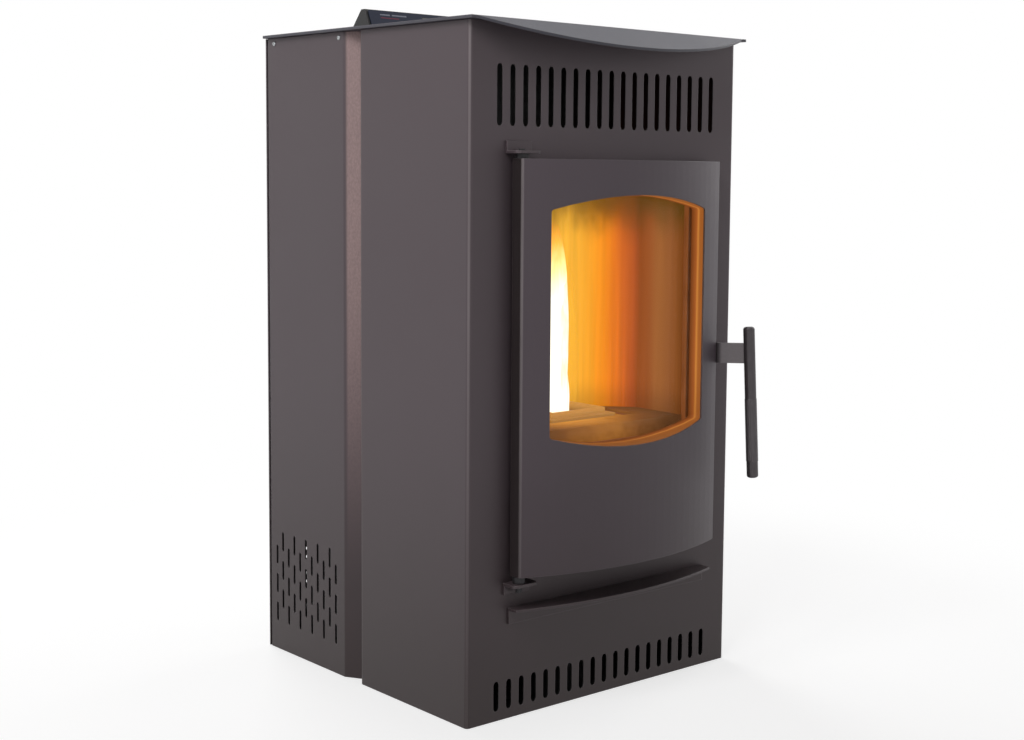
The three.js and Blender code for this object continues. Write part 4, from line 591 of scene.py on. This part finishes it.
def lit_hearth():
    """The hearth plate and the pellet chute: fly ash over steel, with the pot's firelight painted on as
    a glow.
    """
    f = Finish("lit_hearth")
    place = f.place()
    x, y, z = (f.along(place, axis) for axis in range(3))
    flame_x, reach = -0.004, 0.16
    ash = f.noise(place, 130, 5, 0.7)
    drift = f.noise(place, 22, 3)
    far = length(x - flame_x, y - FIRE_Y) / reach
    glow = f.ramp(f.clamp(far + (drift - 0.5) * 0.2), [
        (0.0, tone("ffbc5a")),
        (0.3, tone("e39a42")),
        (0.5, tone("bb772e")),
        (0.68, tone("7f4c22")),
        (1.0, tone("55331a")),
    ])
    # painted shade: the glow dims below the level of the hearth plate
    painted_under_shade = 1 - f.steps(z, HEARTH_TOP - 0.050, HEARTH_TOP + 0.002)
    return f.surface(
        Base_Color=f.mix(ash, tone("2e2216"), tone("5a4a34")),
        Roughness=0.9,
        Specular_IOR_Level=0.1,
        Emission_Color=f.shaded(glow, (0.8 + ash * 0.4) * (1 - painted_under_shade * 0.45)),
        Emission_Strength=0.8,
        Normal=f.bump(ash, 0.3, 0.0008),
    )


def lit_iron():
    """The burn pot: cast iron with the fire's light painted along its rim as a glow."""
    f = Finish("lit_iron")
    place = f.place()
    pits = f.noise(place, 420, 4, 0.7)
    rim = f.steps(f.along(place, 2), 0.338, 0.362)
    warm = f.mix(pits, tone("b06a28"), tone("f0b25c"))
    return f.surface(
        Base_Color=f.mix(pits, tone("2a2725"), tone("4b4642")),
        Roughness=f.clamp(0.66 + pits * 0.3),
        Metallic=0.3,
        Emission_Color=f.mix(rim, (0.02, 0.005, 0.0), warm),
        Emission_Strength=0.85,
        Normal=f.bump(pits, 0.6, 0.0009),
    )


def firelit_steel(name="firelit_steel", strength=0.8):
    """Black steel and rope round the fire door's opening, with the fire's light painted on in brown
    beside the glass.
    """
    f = Finish(name)
    place = f.place()
    x, z = f.along(place, 0), f.along(place, 2)
    glass_x = 0.006
    grain = f.noise(place, 900, 3, 0.6)
    patch = f.noise(place, 30, 3)
    across = 1 - f.steps(f.off(x, glass_x), 0.140, 0.150)
    up = f.between(z, (0.306, 0.320), (0.655, 0.668))
    glow = f.mix(patch, tone("6e3a18"), tone("96552a"))
    return f.surface(
        Base_Color=f.mix(patch, tone("201d1c"), tone("363230")),
        Roughness=f.clamp(0.6 + (grain - 0.5) * 0.25),
        Emission_Color=f.mix(across * up, BLACK, glow),
        Emission_Strength=strength,
        Normal=f.bump(grain, 0.25, 0.0003, f.soft_edge(0.0008)),
    )


def lit_reveal():
    """The steel lining of the window, with the fire's light painted on as a glow, brightest on its
    right.
    """
    f = Finish("lit_reveal")
    place = f.place()
    x, y, z = (f.along(place, axis) for axis in range(3))
    outer_y, deep = -0.284, 0.043
    inward = f.clamp((y - outer_y) / deep)
    heat = f.streaks(place, (40, 40, 12), 3)
    glow = f.ramp(inward + (heat - 0.5) * 0.06, [
        (0.0, tone("9a6236")),
        (0.40, tone("9c5c2a")),
        (0.62, tone("a65f28")),
        # painted highlight: a bright line along the lining
        (0.70, tone("d2863c")),
        (0.77, tone("a85a26")),
        (1.0, tone("6a3413")),
    ])
    # painted light falling off: brighter to the right, changed low down
    right = f.steps(x, -0.11, 0.12)
    low = 1 - f.steps(z, 0.345, 0.42)
    share = f.clamp(0.42 + right * (0.52 - low * 0.24) + low * 0.1)
    return f.surface(
        Base_Color=f.mix(heat, tone("2a1a10"), tone("402816")),
        Roughness=f.clamp(0.45 + heat * 0.25),
        Specular_IOR_Level=0.2,
        Emission_Color=f.shaded(glow, share),
        Emission_Strength=0.92,
        Normal=f.soft_edge(0.0008),
    )


# ---------------------------------------------------------------- which node has which finish

CABINET_CODE = "605459"
# the cabinet's upright front corner, along which a painted highlight line runs
CABINET_CORNER = (SIDE_FACE - 0.0007, FRONT_FACE + 0.0007)
DOOR_CORNER_INSET = 0.0004

# the finish of each of the record's material slots
PAINTS = {
    "cabinet_paint": sheet_paint(
        "charcoal_paint",
        CABINET_CODE,
        corners=(CABINET_CORNER, (-CABINET_CORNER[0], CABINET_CORNER[1])),
        marks=(front_slot_shade,),
    ),
    "door_paint": sheet_paint(
        "door_paint",
        "5f545b",
        grain=1500,
        grit=0.1,
        rough=0.47,
        # the door's front corners, along which painted highlight lines run
        corners=(
            (DOOR_LOW[0] + DOOR_CORNER_INSET, DOOR_EDGE_Y),
            (DOOR_HIGH[0] - DOOR_CORNER_INSET, DOOR_EDGE_Y),
        ),
        marks=(shaded_returns,),
    ),
    "black_steel": heat_black(),
    "bar_steel": bar_grey(),
    "zinc_steel": zinc_plate(),
    "cast_iron": cast_iron(),
    "fired_steel": lit_liner(),
    "fire_glass": pane_glass(),
    "rope_seal": rope_cloth(),
    "navy_face": console_navy(),
    "black_plastic": moulded_black(),
    "display": display_glass(),
    "circuit_board": circuit_green(),
    "motor_case": motor_case(),
}

HEARTH_PAINT = lit_hearth()
FIRELIT_STEEL = firelit_steel()
JOINT_PAINT = sheet_paint("joint_paint", CABINET_CODE, marks=(groove_sheen_and_shadow, side_slot_shade))

# nodes whose finish isn't the one of their material slot
OWN_PAINTS = {
    "hearth_plate": HEARTH_PAINT,
    "pellet_chute": HEARTH_PAINT,
    "burn_pot": lit_iron(),
    "window_surround": lit_reveal(),
    # the top plate is tinted bluish as a painted reflection of the sky
    "top_plate": sheet_paint("top_paint", "54535d"),
    "rear_side_left": JOINT_PAINT,
    "rear_side_right": JOINT_PAINT,
    "room_air_motor": heat_black("motor_black"),
    "room_air_blower_housing": zinc_plate("blower_zinc", "2c2e30", "404345", 0.4),
    "hopper_bin": zinc_plate("hopper_zinc", "232526", "3a3d3f", 0.3),
    "glass_gasket": firelit_steel("shaded_rope", 0.3),
    "door_inner_frame": FIRELIT_STEEL,
    "firebox_frame": FIRELIT_STEEL,
    "firebox_shell": FIRELIT_STEEL,
    "handle_rod": gripped_bar(),
    "hinge_bracket_upper": PAINTS["cabinet_paint"],
    "hinge_bracket_lower": PAINTS["cabinet_paint"],
    "hinge_pin_upper": PAINTS["black_steel"],
    "hinge_pin_lower": PAINTS["black_steel"],
}


def paint_nodes():
    """Gives each node its own finish, or else the one of its material slot."""
    for part in frame["record"]["subparts"]:
        name = part["node"]
        slots = NODES[name].data.materials
        slots.clear()
        slots.append(OWN_PAINTS.get(name, PAINTS[part["material_slot"]]))


# ---------------------------------------------------------------- pieces made here


def piece(name, mesh, paint):
    """Puts a finished mesh into the scene as a piece of the cabinet."""
    made = bpy.data.objects.new(name, mesh)
    bpy.context.scene.collection.objects.link(made)
    mesh.materials.append(paint)
    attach(made, "cabinet")


def skin(name, rings):
    """A smooth closed mesh over a row of rings of equally many points."""
    sides = len(rings[0])
    points = [point for ring in rings for point in ring]
    faces = []
    for row in range(len(rings) - 1):
        for side in range(sides):
            a, b = row * sides + side, row * sides + (side + 1) % sides
            faces.append((a, b, b + sides, a + sides))
    last = (len(rings) - 1) * sides
    faces.append(tuple(reversed(range(sides))))
    faces.append(tuple(last + side for side in range(sides)))
    mesh = bpy.data.meshes.new(name)
    mesh.from_pydata(points, [], faces)
    mesh.polygons.foreach_set("use_smooth", [True] * len(mesh.polygons))
    return mesh


def ring_points(radius, x, y, z, flatness=1.0):
    """Sixteen points round x and y, where radius is a function of the angle."""
    sides = 16
    points = []
    for side in range(sides):
        angle = 2 * math.pi * side / sides
        reach = radius(angle)
        points.append((x + reach * math.cos(angle), y + flatness * reach * math.sin(angle), z))
    return points


def flame_paint():
    """Fire: white at its heart, yellow along its edge, red and clear at the tips."""
    f = Finish("flame")
    place = f.place()
    foot_z, tall = 0.355, 0.265
    lick = f.streaks(place, (60, 60, 14), 3, 0.6, 0.4)
    height = f.clamp((f.along(place, 2) - foot_z) / tall + (lick - 0.5) * 0.22)
    glow = f.ramp(height, [
        (0.0, (1.0, 0.90, 0.66)),
        (0.08, (1.0, 0.97, 0.86)),
        (0.60, (1.0, 0.96, 0.80)),
        (0.74, (1.0, 0.80, 0.34)),
        (0.84, (1.0, 0.42, 0.06)),
        (1.0, (0.55, 0.07, 0.01)),
    ])
    return f.surface(
        Base_Color=BLACK,
        Roughness=1.0,
        Specular_IOR_Level=0.0,
        Emission_Color=glow,
        Emission_Strength=1.5,
        Alpha=f.steps(1 - height + (lick - 0.5) * 0.5, 0.02, 0.3),
    )


def skirt_paint():
    """The thin yellow skirt of the fire, seen through."""
    f = Finish("flame_skirt")
    place = f.place()
    lick = f.streaks(place, (70, 70, 12), 3, 0.6, 0.3)
    fade = f.between(f.along(place, 2), (0.352, 0.42), (0.50, 0.60)) * f.steps(lick, 0.3, 0.7)
    return f.surface(
        Base_Color=BLACK,
        Roughness=1.0,
        Specular_IOR_Level=0.0,
        Emission_Color=f.mix(lick, (1.0, 0.34, 0.02), (1.0, 0.60, 0.06)),
        Emission_Strength=1.0,
        Alpha=f.clamp(fade * 0.5),
    )


def tongue(at, base, reach, lean, turn, waist=0.9):
    """The rings of one tongue of flame: a column that sways, leans and ends in a point.

    base is its half width and waist how soon it narrows: a small one keeps it full for longer."""
    rows, narrowing, flatness, thinnest = 26, 0.16, 0.8, 0.0004
    rings = []
    for row in range(rows + 1):
        t = row / rows
        wide = base * (1 - narrowing * t) * (1 - t ** (4 / waist)) ** 0.8
        sway = 0.22 * base * math.sin(turn + 6.5 * t) * t
        x = at[0] + lean[0] * t * t + sway
        y = at[1] + lean[1] * t * t + 0.5 * sway
        z = HEARTH_TOP + reach * t

        def lobed(angle):
            lobe = 1 + 0.07 * math.sin(3 * angle + turn + 7 * t) + 0.05 * math.sin(2 * angle - 9 * t)
            return max(wide * lobe, thinnest)

        rings.append(ring_points(lobed, x, y, z, flatness))
    return rings


def build_fire():
    tongues = [
        tongue((-0.007, FIRE_Y), 0.0205, 0.262, (0.002, 0.004), 0.4, 0.5),
        tongue((0.008, FIRE_Y), 0.0110, 0.105, (-0.004, 0.0), 2.1, 0.8),
        tongue((-0.020, FIRE_Y + 0.006), 0.0160, 0.245, (-0.004, 0.004), 3.6, 0.6),
        tongue((0.0005, FIRE_Y - 0.003), 0.0124, 0.238, (0.001, 0.0), 5.0, 0.5),
    ]
    skirts = [
        tongue((0.004, FIRE_Y + 0.004), 0.0290, 0.235, (0.006, 0.004), 1.1),
        tongue((0.010, FIRE_Y + 0.010), 0.0270, 0.205, (0.016, 0.008), 2.6),
    ]
    groups = [("flame", flame_paint(), tongues), ("flame_skirt", skirt_paint(), skirts)]
    for kind, paint, group in groups:
        for number, rings in enumerate(group, 1):
            name = f"{kind}_{number}"
            piece(name, skin(name, rings), paint)


def ember_paint():
    """Charred pellets with orange heat between them."""
    f = Finish("ember")
    place = f.place()
    heat = f.noise(place, 130, 3, 0.6)
    char = f.noise(place, 900, 3, 0.7)
    glow = f.ramp(heat, [
        (0.3, (0.25, 0.02, 0.0)),
        (0.5, (1.0, 0.22, 0.02)),
        (0.7, (1.0, 0.62, 0.14)),
    ])
    return f.surface(
        Base_Color=f.mix(char, tone("1c1714"), tone("5c4a3a")),
        Roughness=0.9,
        Emission_Color=glow,
        Emission_Strength=1.1,
        Normal=f.bump(char, 0.5, 0.0008),
    )


def build_embers():
    """Pellets burning in the pot: short rods that lie at random."""
    draw = random.Random(11)
    pellets, radius = 150, 0.003
    spread_x, spread_y, low, high = 0.030, 0.019, 0.318, 0.348
    joined = bmesh.new()
    for _ in range(pellets):
        depth = draw.uniform(0.009, 0.016)
        spin = Matrix.Rotation(draw.uniform(0, math.pi), 4, "Z")
        tip = Matrix.Rotation(math.pi / 2 + draw.uniform(-0.5, 0.5), 4, "X")
        x = CENTRE_X + draw.uniform(-spread_x, spread_x)
        y = FIRE_Y + draw.uniform(-spread_y, spread_y)
        z = draw.uniform(low, high)
        bmesh.ops.create_cone(
            joined,
            cap_ends=True,
            segments=8,
            radius1=radius,
            radius2=radius,
            depth=depth,
            matrix=Matrix.Translation((x, y, z)) @ spin @ tip,
        )
    mesh = bpy.data.meshes.new("embers")
    joined.to_mesh(mesh)
    joined.free()
    piece("ember_bed", mesh, ember_paint())


# a pan head from its rim to its recess, as shares of its radius and of its height
SCREW_ROWS = [
    (1.0, 0.0),
    (1.0, 0.25),
    (0.93, 0.6),
    (0.75, 0.88),
    (0.5, 1.0),
    (0.26, 1.0),
    (0.18, 0.45),
]
SCREW_RADIUS = 0.0032
SCREW_RISE = 0.0016


def screw_head():
    """A domed head round a cross recess, its axis along +Z."""
    recess_edge = 0.3
    rings = []
    for share, height in SCREW_ROWS:
        cross = 0.9 if share < recess_edge else 0

        def crossed(angle):
            return SCREW_RADIUS * share * (1 + cross * math.cos(4 * angle))

        rings.append(ring_points(crossed, 0, 0, SCREW_RISE * height))
    return skin("screw", rings)


def screws(name, spots, turn, slot):
    """One mesh of pan heads that all face the same way."""
    joined = bmesh.new()
    for place in spots:
        head = screw_head()
        head.transform(Matrix.Translation(place) @ turn)
        joined.from_mesh(head)
        bpy.data.meshes.remove(head)
    mesh = bpy.data.meshes.new(name)
    joined.to_mesh(mesh)
    joined.free()
    piece(name, mesh, PAINTS[slot])


def build_screws():
    """Screws through the cabinet's flanges and the rear panel."""
    flange_z = 0.841
    for side, name in ((-1, "side_screws_left"), (1, "side_screws_right")):
        spots = [(side * SIDE_FACE, y, flange_z) for y in (0.0465, 0.205)]
        screws(name, spots, Matrix.Rotation(side * math.pi / 2, 4, "Y"), "zinc_steel")
    edge_x, top_z = 0.214, 0.835
    heights = (0.02, 0.15, 0.30, 0.45, 0.60, 0.75, top_z)
    spots = [(x, REAR_FACE, z) for x in (-edge_x, edge_x) for z in heights]
    spots += [(x, REAR_FACE, top_z) for x in (-0.11, 0.0, 0.11)]
    screws("rear_screws", spots, Matrix.Rotation(-math.pi / 2, 4, "X"), "black_steel")


# ---------------------------------------------------------------- room, lamps and camera

WHITE = (1, 1, 1, 1)
WORLD_LIGHT = 0.09
FLOOR_HALF = 14.0
FLOOR_DROP = 0.0005
FLOOR_LIFT = 0.66
SHADOW_EDGE = (0.75, 1.25)  # the floor turns plain white between these distances


def seen_directly(f):
    """1 for rays from the camera and for what metal and glass show, 0 for the light itself."""
    straight, gloss, through = (
        f.node("ShaderNodeLightPath", output=name)
        for name in ("Is Camera Ray", "Is Glossy Ray", "Is Transmission Ray")
    )
    return f.clamp(straight + gloss + through)


def floor_paint():
    """A pale floor that reads white but for the object's shadow on it."""
    f = Finish("pale_floor")
    place = f.place()
    far = f.steps(length(f.along(place, 0), f.along(place, 1)), *SHADOW_EDGE)
    pale = f.mix(f.noise(place, 3, 2), (0.47, 0.47, 0.47), (0.52, 0.52, 0.52))
    board = f.node("ShaderNodeBsdfPrincipled", {}, {"Base Color": pale, "Roughness": 0.9})
    lift = f.node("ShaderNodeEmission", {}, {"Color": WHITE, "Strength": FLOOR_LIFT})
    white = f.node("ShaderNodeEmission", {}, {"Color": WHITE, "Strength": 1.0})
    near = f.node("ShaderNodeAddShader", {}, {0: board, 1: lift})
    shown = f.node("ShaderNodeMixShader", {}, {0: far, 1: near, 2: white})
    return f.done(f.node("ShaderNodeMixShader", {}, {0: seen_directly(f), 1: board, 2: shown}))


def build_floor():
    mesh = bpy.data.meshes.new("floor")
    corners = [(-1, -1), (1, -1), (1, 1), (-1, 1)]
    mesh.from_pydata([(x * FLOOR_HALF, y * FLOOR_HALF, 0) for x, y in corners], [], [(0, 1, 2, 3)])
    mesh.materials.append(floor_paint())
    floor = bpy.data.objects.new("floor", mesh)
    bpy.context.scene.collection.objects.link(floor)
    floor.location.z = -FLOOR_DROP


def build_world():
    """A white backdrop that lights the object only faintly."""
    world = bpy.data.worlds.new("studio")
    bpy.context.scene.world = world
    f = Finish("studio", world)
    light = {"Color": (1, 0.99, 0.98, 1), "Strength": WORLD_LIGHT}
    lit = f.node("ShaderNodeBackground", {}, light)
    shown = f.node("ShaderNodeBackground", {}, {"Color": WHITE, "Strength": 1.0})
    pick = f.node("ShaderNodeMixShader", {}, {0: seen_directly(f), 1: lit, 2: shown})
    f.node("ShaderNodeOutputWorld", {}, {"Surface": pick})


# name, place, size and power of each lamp
SOFTBOXES = [
    ("key_softbox", (-1.45, -0.95, 2.05), (0.6, 0.7), 11),
    ("side_softbox", (-1.95, -0.24, 1.9), (0.5, 0.9), 9),
    ("right_softbox", (2.6, 0.1, 1.7), (1.4, 1.8), 20),
    ("rear_softbox", (0.6, 3.0, 2.0), (2.0, 1.6), 46),
]
LAMP_AIM = Vector((0, 0, 0.5))


def build_lamps():
    for name, place, size, power in SOFTBOXES:
        data = bpy.data.lights.new(name, "AREA")
        data.shape = "RECTANGLE"
        data.size, data.size_y = size
        data.energy = power
        lamp = bpy.data.objects.new(name, data)
        bpy.context.scene.collection.objects.link(lamp)
        lamp.location = place
        lamp.rotation_euler = (LAMP_AIM - Vector(place)).to_track_quat("-Z", "Y").to_euler()


# the camera, fitted to the photograph's straight edges
PHOTO_WIDTH, PHOTO_HEIGHT = 1024, 740
SENSOR_WIDTH = 36
FOCAL_PIXELS = 1600.62
AXIS_PIXEL = (584.22, 322.93)
CAMERA_PLACE = (-1.37995, -1.71658, 0.67522)
CAMERA_YAW, CAMERA_PITCH, CAMERA_ROLL = (math.radians(angle) for angle in (41.94, -5.46, 0.66))


def build_camera():
    """The photograph's viewpoint: a normal lens at four fifths of the cabinet's height."""
    level = math.cos(CAMERA_PITCH)
    ahead = Vector((math.sin(CAMERA_YAW) * level, math.cos(CAMERA_YAW) * level, math.sin(CAMERA_PITCH)))
    right = ahead.cross(Vector((0, 0, 1))).normalized()
    up = right.cross(ahead)
    tilted_right = right * math.cos(CAMERA_ROLL) + up * math.sin(CAMERA_ROLL)
    tilted_up = up * math.cos(CAMERA_ROLL) - right * math.sin(CAMERA_ROLL)
    data = bpy.data.cameras.new("camera")
    data.sensor_width = SENSOR_WIDTH
    data.lens = SENSOR_WIDTH * FOCAL_PIXELS / PHOTO_WIDTH
    data.shift_x = (PHOTO_WIDTH / 2 - AXIS_PIXEL[0]) / PHOTO_WIDTH
    data.shift_y = (AXIS_PIXEL[1] - PHOTO_HEIGHT / 2) / PHOTO_WIDTH
    camera = bpy.data.objects.new("camera", data)
    bpy.context.scene.collection.objects.link(camera)
    turn = Matrix((tilted_right, tilted_up, -ahead)).transposed().to_4x4()
    camera.matrix_world = Matrix.Translation(CAMERA_PLACE) @ turn
    bpy.context.scene.camera = camera


# ---------------------------------------------------------------- assembly

paint_nodes()
build_fire()
build_embers()
build_screws()
build_floor()
build_world()
build_lamps()
build_camera()
bpy.context.scene.view_settings.view_transform = "Standard"
